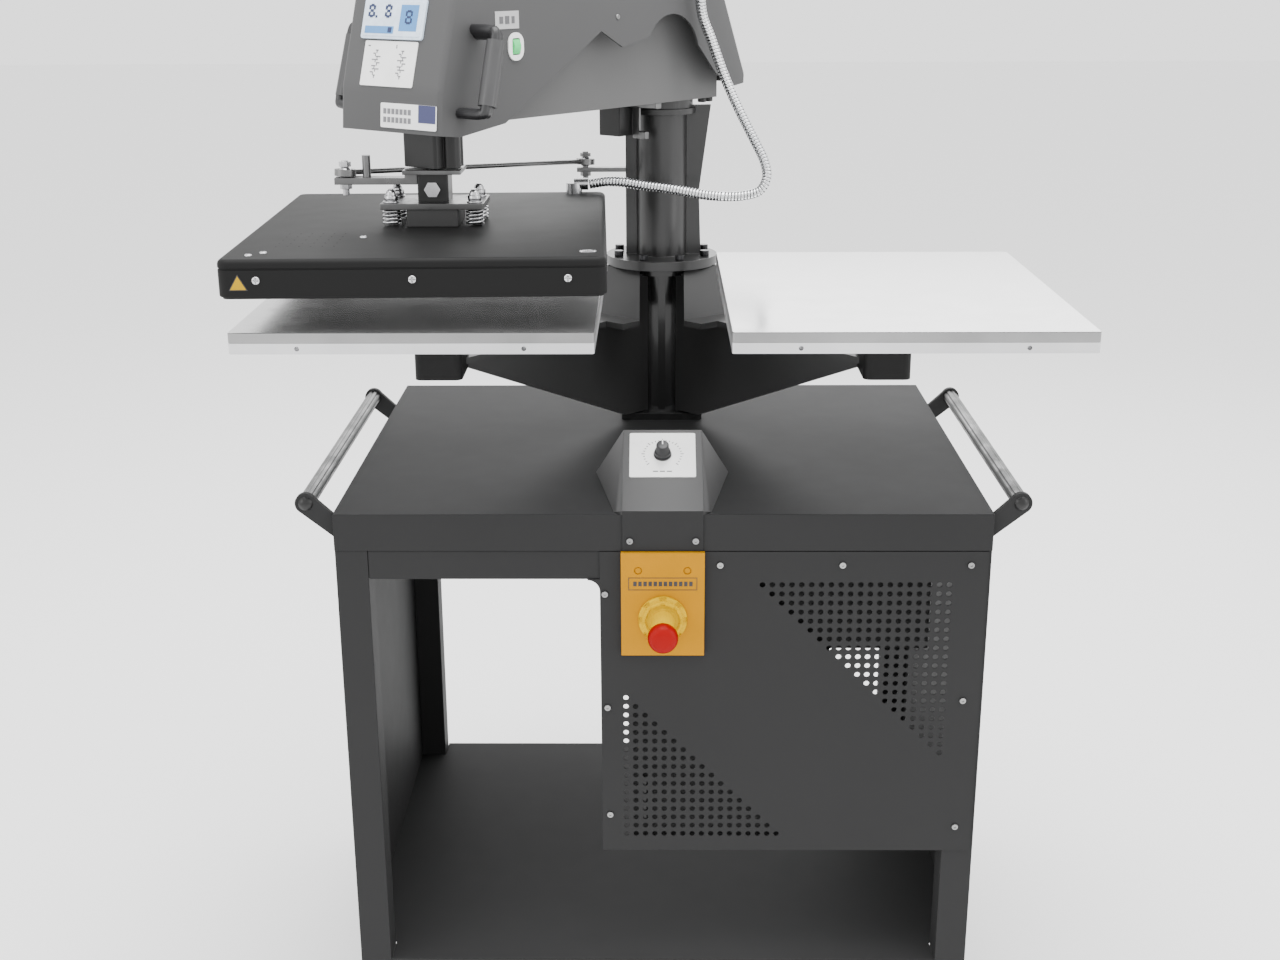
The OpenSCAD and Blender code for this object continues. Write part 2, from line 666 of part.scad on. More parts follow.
// Block under the arm that the ram slides in, with a round boss at one side
module guide_block() color(dark) on_arm() translate([arm_r, 0, guide_z]) difference() {
    union() {
        round_plate(50, 56, arm_z - guide_z, 5);
        translate([0, 30, 0]) cylinder(r = 11, h = arm_z - guide_z);
    }
    translate([0, 0, -1]) cylinder(r = ram_r + run, h = 80);
}

// Block and hooked strap that stop the head at each end of its swing, and two bolts of the arm
module stop_bracket() color(zinc) on_arm() translate([0, 0, arm_z]) {
    slab([60, -38, -46], [91, -2, 0]);
    slab([46, -40, -7], [112, -0.5, 0]);
    slab([59, 0, -8], [71, 46, 0]);
    slab([61, 0, -50], [65, 12, -8]);
    slab([59, 12, -50], [67, 24, -40]);
    for (x = [-53, -38]) translate([x, 42, -6]) hex_head(11, 6);
}

// ---- Ram and platen ----

// Ball of a rod end, cut flat above and below, with a bore of the given radius
module ball(bore) difference() {
    intersection() {
        sphere(r = ball_r);
        cylinder(r = ball_r + 1, h = 12, center = true);
    }
    if (bore > 0) cylinder(r = bore, h = 20, center = true);
}

module ram_rod() color(zinc) on_ram() {
    translate([0, 0, crank_z + crank_h + gap]) cylinder(r = ram_r, h = arm_z + 80 - crank_z - crank_h);
    translate([0, 0, arm_z + 74]) cylinder(r = piston_r, h = 18);
}

module crank_plate() color(zinc) on_ram() {
    translate([0, 0, crank_z]) round_plate(70, 62, crank_h, 2);
    slab([-crank_r - 12, -11, crank_z - 14], [-20, 11, crank_z - 6]);
    slab([-35, -11, crank_z - 6], [-20, 11, crank_z]);
    translate([-crank_r, 0, crank_z - 28]) cylinder(r = stud_r, h = 42);
    translate([-crank_r, 0, crank_z - 20]) hex_head(13, 6);
    translate([-crank_r, 0, rod_high_z + 7]) hex_head(13, 6);
    translate([-crank_r, 0, rod_high_z]) ball(0);
    translate([-82, 0, crank_z - 6]) cylinder(r = 5, h = 26);
}

module clevis() color(dark) on_ram() {
    difference() {
        translate([0, 0, clevis_z]) round_plate(37, 44, crank_z - clevis_z, 3);
        translate([0, 30, clevis_z + 15]) rotate([90, 0, 0]) cylinder(r = 5.1, h = 60);
    }
    translate([0, 22, clevis_z + 15]) rotate([90, 0, 0]) cylinder(r = 5, h = 44);
    translate([0, -22, clevis_z + 15]) rotate([90, 0, 0]) hex_head(17, 6);
}

module spring_plate() color("#8b8f94") on_ram() {
    translate([0, 0, platen_top + boss_h]) round_plate(124, 80, plate_h, 2);
    for (x = [-50, 50], y = [-26, 26]) translate([x, y, clevis_z]) {
        hex_head(10, 5);
        cylinder(r = 3, h = 16);
    }
}

module pressure_springs() color(zinc) on_ram() for (x = [-50, 50], y = [-26, 26])
    translate([x, y, platen_top + gap]) ring(11, 6.5, boss_h - 2 * gap);

module platen_boss() color("#17181a") on_ram() {
    translate([0, 0, platen_top]) round_plate(62, 76, boss_h, 3);
}

module platen_cover() color("#151618") on_platen() difference() {
    union() {
        translate([0, 0, platen_bottom + 2]) round_plate(platen_w, platen_d, platen_h - 8, 12);
        hull() {
            translate([0, 0, platen_bottom + 28]) round_plate(platen_w, platen_d, 6, 12, $fn = 32);
            translate([0, 0, platen_top - 1]) round_plate(platen_w - 7, platen_d - 7, 1, 9, $fn = 32);
        }
    }
    translate([0, 0, platen_bottom - 1]) round_plate(platen_w - 4, platen_d - 4, platen_h - 9, 10);
    for (x = [-168, 0, 168]) translate([x, -platen_d / 2 - 1, platen_bottom + 20.5])
        rotate([-90, 0, 0]) cylinder(r = 2.1, h = 6);
}

// Cast heating plate, filling the cover from below
module heater_plate() color(alu) on_platen()
{
    translate([0, 0, platen_bottom]) round_plate(platen_w - 8, platen_d - 8, 22, 8);
    for (x = [-120, 120], y = [-180, 180])
        translate([x, y, platen_bottom + 22]) cylinder(r = 10, h = platen_h - 32);
}

module conduit_gland() color(zinc) place() {
    translate([-120, -92, platen_top]) cylinder(r = 11, h = 14);
    translate([-120, -92, 1145]) rotate([0, 90, 0]) cylinder(r = 8, h = 19.4);
}

// Rod with an eye at each end that swings the platen's crank with the column's
rod_reach = [ram_x, ram_y, rod_high_z - rod_low_z];
rod_len = norm(rod_reach);
rod_tilt = asin((rod_high_z - rod_low_z) / rod_len);
module rod_ball() color(zinc) place() translate([-crank_r, 0, rod_low_z]) ball(stud_r + run);

module tie_rod() color(zinc) place() translate([-crank_r, 0, rod_low_z])
    rotate([0, 0, 270 - arm_angle]) rotate([0, -rod_tilt, 0]) {
        difference() {
            union() {
                translate([0, 0, -eye_h / 2]) cylinder(r = eye_r, h = eye_h);
                translate([rod_len, 0, -eye_h / 2]) cylinder(r = eye_r, h = eye_h);
                translate([eye_r - 2, 0, 0]) rotate([0, 90, 0])
                    cylinder(r = 3.2, h = rod_len - 2 * eye_r + 4);
            }
            translate([0, 0, -10]) cylinder(r = ball_r + gap, h = 20);
            translate([rod_len, 0, -10]) cylinder(r = ball_r + 1.5, h = 20);
        }
    }

// ---- Conduit ----

cuts = 3;
whole_route = curve(route, 0, len(route) - 1, cuts);
module conduit_upper() color(zinc) place()
    swept_tube(whole_route, 0, conduit_split * cuts, conduit_r, 12);
module conduit_lower() color(zinc) place()
    swept_tube(whole_route, conduit_split * cuts, len(whole_route) - 1, conduit_r, 12);

tabletop();
stand_legs();
stand_rails();
side_panels();
lower_shelf();
perforated_panel();
front_screws();
console_hood();
selector_plate();
selector_switch();
selector_knob();
estop_enclosure();
estop_collar();
estop_button();
control_box();
air_regulator();
handle_brackets();
side_handles();
handle_bolts();
caster_mounts();
caster_fork_fl();
caster_fork_fr();
caster_fork_bl();
caster_fork_br();
caster_wheel_fl();
caster_wheel_fr();
caster_wheel_bl();
caster_wheel_br();
pedestal();
pedestal_arms();
bed_bases();
bed_tops();
column();
column_bolts();
column_crank();
swing_arm();
swing_bushes();
head_cover();
head_elbow();
controller_display();
nose_plates();
cheek_handles();
rocker_frame();
rocker_switch();
air_cylinder();
guide_block();
stop_bracket();
ram_rod();
crank_plate();
clevis();
spring_plate();
pressure_springs();
platen_boss();
platen_cover();
heater_plate();
conduit_gland();
rod_ball();
tie_rod();
conduit_upper();
conduit_lower();
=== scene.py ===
import bmesh
import bpy
import json
import math
from mathutils import Matrix, Vector


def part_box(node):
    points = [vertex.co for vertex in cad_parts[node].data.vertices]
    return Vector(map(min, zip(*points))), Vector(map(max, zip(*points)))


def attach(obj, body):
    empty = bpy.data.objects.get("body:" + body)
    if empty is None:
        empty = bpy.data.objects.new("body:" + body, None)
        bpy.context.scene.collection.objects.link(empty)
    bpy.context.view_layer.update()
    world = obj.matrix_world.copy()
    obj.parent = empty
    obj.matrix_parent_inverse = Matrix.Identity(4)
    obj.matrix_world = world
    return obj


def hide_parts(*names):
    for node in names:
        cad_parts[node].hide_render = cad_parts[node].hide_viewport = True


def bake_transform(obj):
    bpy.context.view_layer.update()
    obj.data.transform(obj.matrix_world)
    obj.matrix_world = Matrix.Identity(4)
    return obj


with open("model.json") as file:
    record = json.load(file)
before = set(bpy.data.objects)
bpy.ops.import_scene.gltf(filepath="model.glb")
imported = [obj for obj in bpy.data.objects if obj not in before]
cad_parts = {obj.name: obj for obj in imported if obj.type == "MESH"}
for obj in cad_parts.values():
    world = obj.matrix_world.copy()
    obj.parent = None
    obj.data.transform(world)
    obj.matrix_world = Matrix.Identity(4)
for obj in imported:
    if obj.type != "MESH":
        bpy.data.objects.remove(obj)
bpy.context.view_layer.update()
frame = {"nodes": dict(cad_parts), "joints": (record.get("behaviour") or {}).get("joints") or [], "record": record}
record = frame["record"]
bodies = record["behaviour"]["bodies"]
body_of = {node: body for body, nodes in bodies.items() for node in nodes}
joint = {row["name"]: row for row in frame["joints"]}


# ---- Camera, light and floor ----
# The press is seen from just above head height, straight on, with the column near the middle.
# Soft panels stand over it and to each side, and the floor is plain and pale.
column_x, column_y = joint["head_swing"]["pos_m"][:2]
camera_data = bpy.data.cameras.new("camera")
camera_data.sensor_width = 36.0
camera_data.lens = 45.27
camera_data.clip_end = 60.0
camera = bpy.data.objects.new("camera", camera_data)
bpy.context.scene.collection.objects.link(camera)
camera_left, camera_back, camera_height = 0.0073, 2.3105, 1.4379
camera_yaw, camera_dip, camera_roll = 0.0109, 0.3133, -0.0040
camera_place = Matrix.Translation((column_x - camera_left, column_y - camera_back, camera_height))
camera_turn = Matrix.Rotation(camera_yaw, 4, "Z") @ Matrix.Rotation(math.pi / 2 - camera_dip, 4, "X")
camera.matrix_world = camera_place @ camera_turn @ Matrix.Rotation(camera_roll, 4, "Z")
bpy.context.scene.camera = camera


def soft_panel(name, place, aim, width, height, power):
    """Rectangular studio light at a place, turned to face the aim."""
    light = bpy.data.lights.new(name, "AREA")
    light.shape = "RECTANGLE"
    light.size = width
    light.size_y = height
    light.energy = power
    lamp = bpy.data.objects.new(name, light)
    bpy.context.scene.collection.objects.link(lamp)
    lamp.location = place
    lamp.rotation_euler = (Vector(aim) - Vector(place)).to_track_quat("-Z", "Y").to_euler()


soft_panel("overhead_panel", (0.1, -0.3, 3.6), (0.0, 0.0, 0.9), 3.0, 2.6, 170)
soft_panel("left_panel", (-2.9, -1.9, 2.2), (0.0, 0.0, 0.9), 1.6, 2.4, 34)
soft_panel("right_panel", (3.0, -1.5, 2.0), (0.0, 0.0, 0.9), 1.4, 2.4, 28)
soft_panel("back_panel", (0.4, 3.2, 2.4), (0.0, 0.0, 1.0), 2.6, 1.6, 40)

world = bpy.data.worlds.new("studio")
world.use_nodes = True
world.node_tree.nodes["Background"].inputs["Color"].default_value = (1.0, 1.0, 1.0, 1.0)
world.node_tree.nodes["Background"].inputs["Strength"].default_value = 1.9
bpy.context.scene.world = world

floor_mesh = bpy.data.meshes.new("floor")
floor_mesh.from_pydata([(-14, -10, 0), (14, -10, 0), (14, 22, 0), (-14, 22, 0)], [], [(0, 1, 2, 3)])
floor = bpy.data.objects.new("floor", floor_mesh)
bpy.context.scene.collection.objects.link(floor)
floor_paint = bpy.data.materials.new("floor_paint")
floor_paint.use_nodes = True
floor_paint.node_tree.nodes["Principled BSDF"].inputs["Base Color"].default_value = (0.93, 0.93, 0.93, 1)
floor_paint.node_tree.nodes["Principled BSDF"].inputs["Roughness"].default_value = 0.7
floor_mesh.materials.append(floor_paint)


# ---- Flexible conduit ----
# Galvanised strip, wound and interlocked into a 14 mm hose that carries the heater's leads.
# It comes down from an elbow on the head's cheek, hangs past the column and ends at the platen.
conduit_radius = 0.0068
strip_pitch = 0.0044
conduit_split = 11
conduit_sides = 18
conduit_route = [
    (0.050, -0.100, 1.415), (0.050, -0.100, 1.394), (0.054, -0.093, 1.365), (0.065, -0.087, 1.337),
    (0.084, -0.086, 1.287), (0.105, -0.088, 1.242), (0.126, -0.092, 1.202), (0.139, -0.094, 1.176),
    (0.143, -0.095, 1.154), (0.134, -0.096, 1.136), (0.112, -0.096, 1.129), (0.084, -0.096, 1.128),
    (0.052, -0.095, 1.131), (0.012, -0.094, 1.138), (-0.026, -0.093, 1.143), (-0.053, -0.092, 1.147),
    (-0.076, -0.092, 1.148), (-0.099, -0.092, 1.145)]


def smooth_route(points, first, last, cuts):
    """Catmull-Rom curve through the points from first to last."""
    path = []
    for i in range(first, last):
        a, b = points[max(i - 1, 0)], points[i]
        c, d = points[i + 1], points[min(i + 2, len(points) - 1)]
        for k in range(cuts):
            t = k / cuts
            path.append(0.5 * (2 * b + (c - a) * t + (2 * a - 5 * b + 4 * c - d) * t ** 2
                               + (3 * b - a - 3 * c + d) * t ** 3))
    return path + [points[last]]


def even_steps(path, step):
    """The same path with a point every step along it."""
    out, left = [path[0]], step
    for a, b in zip(path, path[1:]):
        length, done = (b - a).length, 0.0
        while length - done >= left:
            done += left
            out.append(a.lerp(b, done / length))
            left = step
        left -= length - done
    if (out[-1] - path[-1]).length > step * 0.3:
        out.append(path[-1])
    else:
        out[-1] = path[-1]
    return out


def sweep(path, radius_at, sides, side=None):
    """Closed tube along a path. radius_at takes the distance run and the angle round the tube."""
    verts, faces, run = [], [], 0.0
    heading = (path[1] - path[0]).normalized()
    side = side or heading.orthogonal().normalized()
    for i, point in enumerate(path):
        ahead = path[min(i + 1, len(path) - 1)] - path[max(i - 1, 0)]
        turn = heading.rotation_difference(ahead.normalized())
        heading = ahead.normalized()
        side = (turn @ side - heading * heading.dot(turn @ side)).normalized()
        across = heading.cross(side)
        if i:
            run += (point - path[i - 1]).length
        for k in range(sides):
            angle = 2 * math.pi * k / sides
            verts.append(point + radius_at(run, angle) * (math.cos(angle) * side + math.sin(angle) * across))
    for i in range(len(path) - 1):
        for k in range(sides):
            j = (k + 1) % sides
            faces.append((i * sides + k, i * sides + j, (i + 1) * sides + j, (i + 1) * sides + k))
    faces.append(tuple(range(sides - 1, -1, -1)))
    faces.append(tuple((len(path) - 1) * sides + k for k in range(sides)))
    return verts, faces


def new_piece(name, verts, faces, material, smooth=40):
    """Mesh piece with one material, smooth but for edges sharper than the angle given."""
    mesh = bpy.data.meshes.new(name)
    mesh.from_pydata([tuple(v) for v in verts], [], [tuple(f) for f in faces])
    mesh.materials.append(material)
    shape = bmesh.new()
    shape.from_mesh(mesh)
    bmesh.ops.recalc_face_normals(shape, faces=shape.faces)
    for face in shape.faces:
        face.smooth = True
    for edge in shape.edges:
        edge.smooth = len(edge.link_faces) == 2 and edge.calc_face_angle(0) < math.radians(smooth)
    shape.to_mesh(mesh)
    shape.free()
    piece = bpy.data.objects.new(name, mesh)
    bpy.context.scene.collection.objects.link(piece)
    return piece


def finish_of(name):
    """New node material: its nodes, links, shader and the point on the piece."""
    material = bpy.data.materials.new(name)
    material.use_nodes = True
    tree = material.node_tree
    point = tree.nodes.new("ShaderNodeTexCoord").outputs["Object"]
    return material, tree.nodes, tree.links, tree.nodes["Principled BSDF"], point


def noise(nodes, links, point, scale, detail, stretch=(1, 1, 1)):
    """Noise over the piece, stretched by a factor along each axis."""
    mapping = nodes.new("ShaderNodeMapping")
    mapping.inputs["Scale"].default_value = stretch
    links.new(point, mapping.inputs["Vector"])
    texture = nodes.new("ShaderNodeTexNoise")
    texture.inputs["Scale"].default_value = scale
    texture.inputs["Detail"].default_value = detail
    links.new(mapping.outputs["Vector"], texture.inputs["Vector"])
    return texture.outputs["Fac"]


def ranged(nodes, links, value, low, high, start=0.3, stop=0.7):
    """A noise value stretched from start..stop to low..high."""
    spread = nodes.new("ShaderNodeMapRange")
    spread.inputs["From Min"].default_value = start
    spread.inputs["From Max"].default_value = stop
    spread.inputs["To Min"].default_value = low
    spread.inputs["To Max"].default_value = high
    links.new(value, spread.inputs["Value"])
    return spread.outputs["Result"]


def two_tone(nodes, links, value, first, second):
    """Colour that goes from the first to the second with a value from 0 to 1."""
    mix = nodes.new("ShaderNodeMix")
    mix.data_type = "RGBA"
    mix.inputs["A"].default_value = (*first, 1)
    mix.inputs["B"].default_value = (*second, 1)
    links.new(value, mix.inputs["Factor"])
    return mix.outputs["Result"]


def mottled(nodes, links, shader, value, dark, light):
    """Base colour that wanders between two tones with a noise value."""
    tone = two_tone(nodes, links, ranged(nodes, links, value, 0, 1), dark, light)
    links.new(tone, shader.inputs["Base Color"])


def relief(nodes, links, shader, height, strength, depth):
    """Surface relief from a height value, depth in metres."""
    bump = nodes.new("ShaderNodeBump")
    bump.inputs["Strength"].default_value = strength
    bump.inputs["Distance"].default_value = depth
    links.new(height, bump.inputs["Height"])
    links.new(bump.outputs["Normal"], shader.inputs["Normal"])


def brushed_metal(name, light, dark, roughness, stretch, depth=0.00008):
    """Bare metal with fine lines along the axis that is stretched least."""
    material, nodes, links, shader, point = finish_of(name)
    shader.inputs["Metallic"].default_value = 1.0
    lines = noise(nodes, links, point, 60, 4, stretch)
    stain = noise(nodes, links, point, 9, 3)
    mottled(nodes, links, shader, stain, dark, light)
    links.new(ranged(nodes, links, lines, roughness * 0.75, roughness * 1.3), shader.inputs["Roughness"])
    relief(nodes, links, shader, lines, 0.5, depth)
    return material


conduit_strip = brushed_metal("galvanised_strip", (0.80, 0.81, 0.82), (0.60, 0.61, 0.63), 0.24, (1, 1, 1))
# Painted shade: the grooves between the strip's turns are coloured dark, though the strip is the same bright metal
# there.
conduit_groove_painted_shade = brushed_metal("strip_groove_painted_shade", (0.16, 0.16, 0.16), (0.08, 0.08, 0.08), 0.4, (1, 1, 1))
column_foot = Vector((column_x, column_y, 0))
route = [Vector(p) + column_foot for p in conduit_route]


def strip_profile(run, angle):
    """Each turn of the strip is a round-backed rib with a narrow step down to the next."""
    turn = (run / strip_pitch + angle / (2 * math.pi)) % 1
    return conduit_radius * (0.74 + 0.26 * min(1.0, 1.9 * math.sin(math.pi * turn) ** 0.8))


def conduit_part(name, first, last, node):
    """One length of the hose between two route points."""
    path = even_steps(smooth_route(route, first, last, 14), strip_pitch / 7)
    verts, faces = sweep(path, strip_profile, conduit_sides)
    piece = new_piece(name, verts, faces, conduit_strip, 60)
    piece.data.materials.append(conduit_groove_painted_shade)
    step = (path[1] - path[0]).length
    # Faces sunk into the grooves take the painted shade.
    painted_shade_groove_radius = 0.93 * conduit_radius
    for face in piece.data.polygons:
        ring, side = divmod(face.index, conduit_sides)
        if strip_profile((ring + 0.5) * step, 2 * math.pi * (side + 0.5) / conduit_sides) < painted_shade_groove_radius:
            face.material_index = 1
    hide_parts(node)
    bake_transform(piece)
    return piece


conduit_part("conduit_hanging_run", 0, conduit_split, "conduit_upper")
conduit_part("conduit_platen_run", conduit_split, len(route) - 1, "conduit_lower")


# ---- Stand: top, legs, rails, side panels and shelf ----
# Folded and welded steel sheet and square tube, powder coated dark grey with a fine texture.
# The top is a shallow tray turned over the legs, and the shelf is notched round them.
def powder_coat(name, colour, roughness, grain=900, depth=0.00010, mottle=0.02, coat=0.0, gloss=0.35):
    """Baked paint with a fine orange-peel relief, faint mottling and rubbed patches."""
    material, nodes, links, shader, point = finish_of(name)
    peel = noise(nodes, links, point, grain, 2)
    patch = noise(nodes, links, point, 5, 5)
    dark = [c * (1 - mottle) for c in colour]
    light = [min(1, c * (1 + mottle)) for c in colour]
    mottled(nodes, links, shader, patch, dark, light)
    rub = noise(nodes, links, point, 28, 4)
    links.new(ranged(nodes, links, rub, roughness * 0.98, roughness * 1.02), shader.inputs["Roughness"])
    shader.inputs["Specular IOR Level"].default_value = gloss
    shader.inputs["Coat Weight"].default_value = coat
    shader.inputs["Coat Roughness"].default_value = 0.08
    relief(nodes, links, shader, peel, 0.35, depth)
    return material


def plain_shape(node, flat=0.8):
    """The node's own mesh, welded, with each flat face in one piece."""
    shape = bmesh.new()
    shape.from_mesh(frame["nodes"][node].data)
    bmesh.ops.remove_doubles(shape, verts=shape.verts, dist=0.000002)
    bmesh.ops.dissolve_limit(shape, angle_limit=math.radians(flat), verts=shape.verts, edges=shape.edges)
    return shape


def softened(node, material, width, segments=2, sharp=30, flat=0.8):
    """The node's own shape with its edges rounded, as real sheet and castings have them."""
    shape = plain_shape(node, flat)
    edges = [e for e in shape.edges if len(e.link_faces) == 2 and e.calc_face_angle(0) > math.radians(sharp)]
    bmesh.ops.bevel(shape, geom=edges, offset=width, segments=segments, affect="EDGES",
                    clamp_overlap=True, profile=0.5)
    shape.verts.ensure_lookup_table()
    shape.verts.index_update()
    verts = [v.co.copy() for v in shape.verts]
    faces = [[v.index for v in f.verts] for f in shape.faces]
    shape.free()
    piece = new_piece(node + "_piece", verts, faces, material, 28)
    piece.modifiers.new("flat_faces", "WEIGHTED_NORMAL").keep_sharp = True
    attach(piece, body_of[node])
    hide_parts(node)
    return piece


stand_coat = powder_coat("stand_powder_coat", (0.0225, 0.0225, 0.0228), 0.6, gloss=0.10)
for node in ("tabletop", "lower_shelf"):
    softened(node, stand_coat, 0.0016)
for node in ("stand_legs", "stand_rails"):
    softened(node, stand_coat, 0.0022)
softened("side_panels", stand_coat, 0.0005)


# ---- Perforated front panel and its screws ----
# Steel sheet punched with two triangles of round holes, which let the switchgear breathe.
# Round-headed screws hold it to the legs and the rail.
softened("perforated_panel", stand_coat, 0.00025, 1)
screw_zinc = brushed_metal("screw_zinc", (0.36, 0.36, 0.355), (0.20, 0.20, 0.20), 0.30, (1, 1, 1))
softened("front_screws", screw_zinc, 0.0003)


# ---- Console hood, selector plate, switch and knob ----
# The hood is folded from the same sheet as the stand and leans the selector up to the operator.
# The plate is white laminate, and the ribbed knob turns the switch below it.
hood_coat = powder_coat("hood_powder_coat", (0.0165, 0.0165, 0.0168), 0.4, gloss=0.45)
hood = softened("console_hood", hood_coat, 0.0012, 2, flat=4)


def retouch(piece, material, test):
    """Give the faces whose middle passes the test a second finish."""
    piece.data.materials.append(material)
    for face in piece.data.polygons:
        if test(face.center):
            face.material_index = len(piece.data.materials) - 1


hood_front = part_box("console_hood")[0].y
retouch(hood, stand_coat, lambda at: at.y < hood_front + 0.0008)


def moulded(name, colour, roughness, grain=1500, depth=0.00003, mottle=0.04, gloss=0.5):
    """Moulded plastic with a fine eroded grain and slight handling marks."""
    material, nodes, links, shader, point = finish_of(name)
    skin = noise(nodes, links, point, grain, 2)
    marks = noise(nodes, links, point, 34, 5)
    dark = [c * (1 - mottle) for c in colour]
    light = [min(1, c * (1 + mottle)) for c in colour]
    mottled(nodes, links, shader, marks, dark, light)
    links.new(ranged(nodes, links, marks, roughness * 0.8, roughness * 1.25), shader.inputs["Roughness"])
    shader.inputs["Specular IOR Level"].default_value = gloss
    relief(nodes, links, shader, skin, 0.3, depth)
    return material


white_laminate = moulded("white_laminate", (0.86, 0.86, 0.85), 0.34)
black_plastic = moulded("black_plastic", (0.014, 0.014, 0.015), 0.36)
softened("selector_plate", white_laminate, 0.0003)
softened("selector_switch", black_plastic, 0.0006)

selector_at = Vector(joint["selector_turn"]["pos_m"])
selector_up = Vector(joint["selector_turn"]["axis"]).normalized()


def facing(place, out, up=Vector((0, 0, 1))):
    """Frame with +Z out of a surface and +Y as near up as the surface allows."""
    out = Vector(out).normalized()
    right = up.cross(out).normalized()
    return Matrix.Translation(place) @ Matrix((right, out.cross(right), out)).transposed().to_4x4()


def lathe(profile, sides=48):
    """Solid turned about +Z from (radius, height) pairs, closed where the radius is 0."""
    verts, faces, rings = [], [], []
    for radius, height in profile:
        if radius < 1e-7:
            rings.append([len(verts)])
            verts.append(Vector((0, 0, height)))
        else:
            rings.append(list(range(len(verts), len(verts) + sides)))
            turns = [2 * math.pi * k / sides for k in range(sides)]
            verts += [Vector((radius * math.cos(a), radius * math.sin(a), height)) for a in turns]
    for low, high in zip(rings, rings[1:]):
        for k in range(sides):
            j = (k + 1) % sides
            corners = [low[k % len(low)], low[j % len(low)], high[j % len(high)], high[k % len(high)]]
            corners = list(dict.fromkeys(corners))
            if len(corners) > 2:
                faces.append(corners)
    return verts, faces


def bar(low, high):
    """Box between two corners, as points and faces."""
    ends = list(zip(low, high))
    verts = [Vector((x, y, z)) for x in ends[0] for y in ends[1] for z in ends[2]]
    faces = [(0, 1, 3, 2), (4, 6, 7, 5), (0, 4, 5, 1), (2, 3, 7, 6), (0, 2, 6, 4), (1, 5, 7, 3)]
    return verts, faces


def joined(parts):
    """Several (verts, faces) as one."""
    verts, faces = [], []
    for part_verts, part_faces in parts:
        faces += [[i + len(verts) for i in f] for f in part_faces]
        verts += part_verts
    return verts, faces


def moved(part, matrix):
    """(verts, faces) carried to another place."""
    return [matrix @ v for v in part[0]], part[1]


knob_ribs = 24
knob_verts, knob_faces = lathe(
    [(0, 0.0033), (0.0098, 0.0033), (0.0100, 0.0036), (0.0100, 0.0066), (0.0097, 0.0071), (0.0084, 0.0074),
     (0.0081, 0.0080), (0.0079, 0.0180), (0.0074, 0.0189), (0.0064, 0.0193), (0.0, 0.0193)], 4 * knob_ribs)
for vert in knob_verts:
    around = math.atan2(vert.y, vert.x)
    if 0.0078 < vert.z < 0.0186 and vert.length > 0.001:
        flute = 1 - 0.05 * (0.5 + 0.5 * math.cos(knob_ribs * around))
        vert.x *= flute
        vert.y *= flute
knob_place = facing(selector_at, selector_up)
pointer = bar((-0.0007, 0.0005, 0.0190), (0.0007, 0.0072, 0.0196))
knob = new_piece("selector_knob_cap", *moved((knob_verts, knob_faces), knob_place), black_plastic, 50)
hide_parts("selector_knob")
line = new_piece("selector_knob_line", *moved(pointer, knob_place), white_laminate)
for piece, slot in ((knob, "black_plastic"), (line, "switch_white")):
    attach(piece, "selector")

ink = moulded("printing_ink", (0.02, 0.02, 0.022), 0.5)
pale_ink = moulded("pale_ink", (0.10, 0.10, 0.105), 0.5)
ticks = []
for k in range(25):
    turn = Matrix.Rotation(math.radians(-132 + 11 * k), 4, "Z")
    reach = 0.0262 if k % 4 == 0 else 0.0245
    ticks.append(moved(bar((-0.0005, 0.0222, 0.0008), (0.0005, reach, 0.0012)), turn))
for k in range(3):
    ticks.append(bar((-0.012 + 0.0085 * k, -0.0292, 0.0008), (-0.0055 + 0.0085 * k, -0.0275, 0.0012)))
tick_ring = new_piece("selector_ticks", *moved(joined(ticks), knob_place), pale_ink)
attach(tick_ring, "root")


# ---- Emergency stop ----
# An amber box let into the panel, a bright yellow guard ring and a red mushroom button.
# All three are glossy moulded plastic, and the button latches when it is pushed in.
amber_plastic = moulded("amber_plastic", (0.42, 0.185, 0.0), 0.5, gloss=0.08)
ring_plastic = moulded("bright_yellow_plastic", (0.58, 0.36, 0.0), 0.45, gloss=0.06)
red_plastic = moulded("red_plastic", (0.26, 0.0, 0.0), 0.4, gloss=0.12)
softened("estop_enclosure", amber_plastic, 0.0018, 3)
button_low, button_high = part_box("estop_button")
box_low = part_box("estop_enclosure")[0]
ring_low, ring_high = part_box("estop_collar")
stop_place = facing(((ring_low.x + ring_high.x) / 2, box_low.y, (ring_low.z + ring_high.z) / 2), (0, -1, 0))
collar_profile = [
    (0.0061, -0.0150), (0.0110, -0.0150), (0.0110, 0.0004), (0.0296, 0.0004), (0.0300, 0.0010),
    (0.0298, 0.0040), (0.0288, 0.0050), (0.0254, 0.0052), (0.0248, 0.0090), (0.0240, 0.0098),
    (0.0216, 0.0098), (0.0208, 0.0086), (0.0196, 0.0050), (0.0160, 0.0046), (0.0142, 0.0060),
    (0.0138, 0.0425), (0.0132, 0.0436), (0.0061, 0.0436)]
collar_notches, notch_depth = 8, 0.0030
collar_verts, collar_faces = lathe(collar_profile + [collar_profile[0]], 72)
for vert in collar_verts:
    around = math.atan2(vert.y, vert.x)
    on_rim = 0.0045 < vert.z < 0.0105 and math.hypot(vert.x, vert.y) > 0.0205
    if on_rim and math.cos(collar_notches * around) > 0.55:
        vert.z -= notch_depth
collar = new_piece("estop_guard_ring", *moved((collar_verts, collar_faces), stop_place), ring_plastic, 35)
contact_bar = bar((-0.017, -0.020, -0.0420), (0.017, 0.020, -0.0200))
contact = new_piece("estop_contact_block", *moved(contact_bar, stop_place), ring_plastic)
contact.modifiers.new("edges", "BEVEL").width = 0.0012
for piece in (collar, contact):
    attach(piece, "root")
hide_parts("estop_collar")
button_at = ((button_low.x + button_high.x) / 2, button_low.y, (button_low.z + button_high.z) / 2)
button_place = facing(button_at, (0, -1, 0))
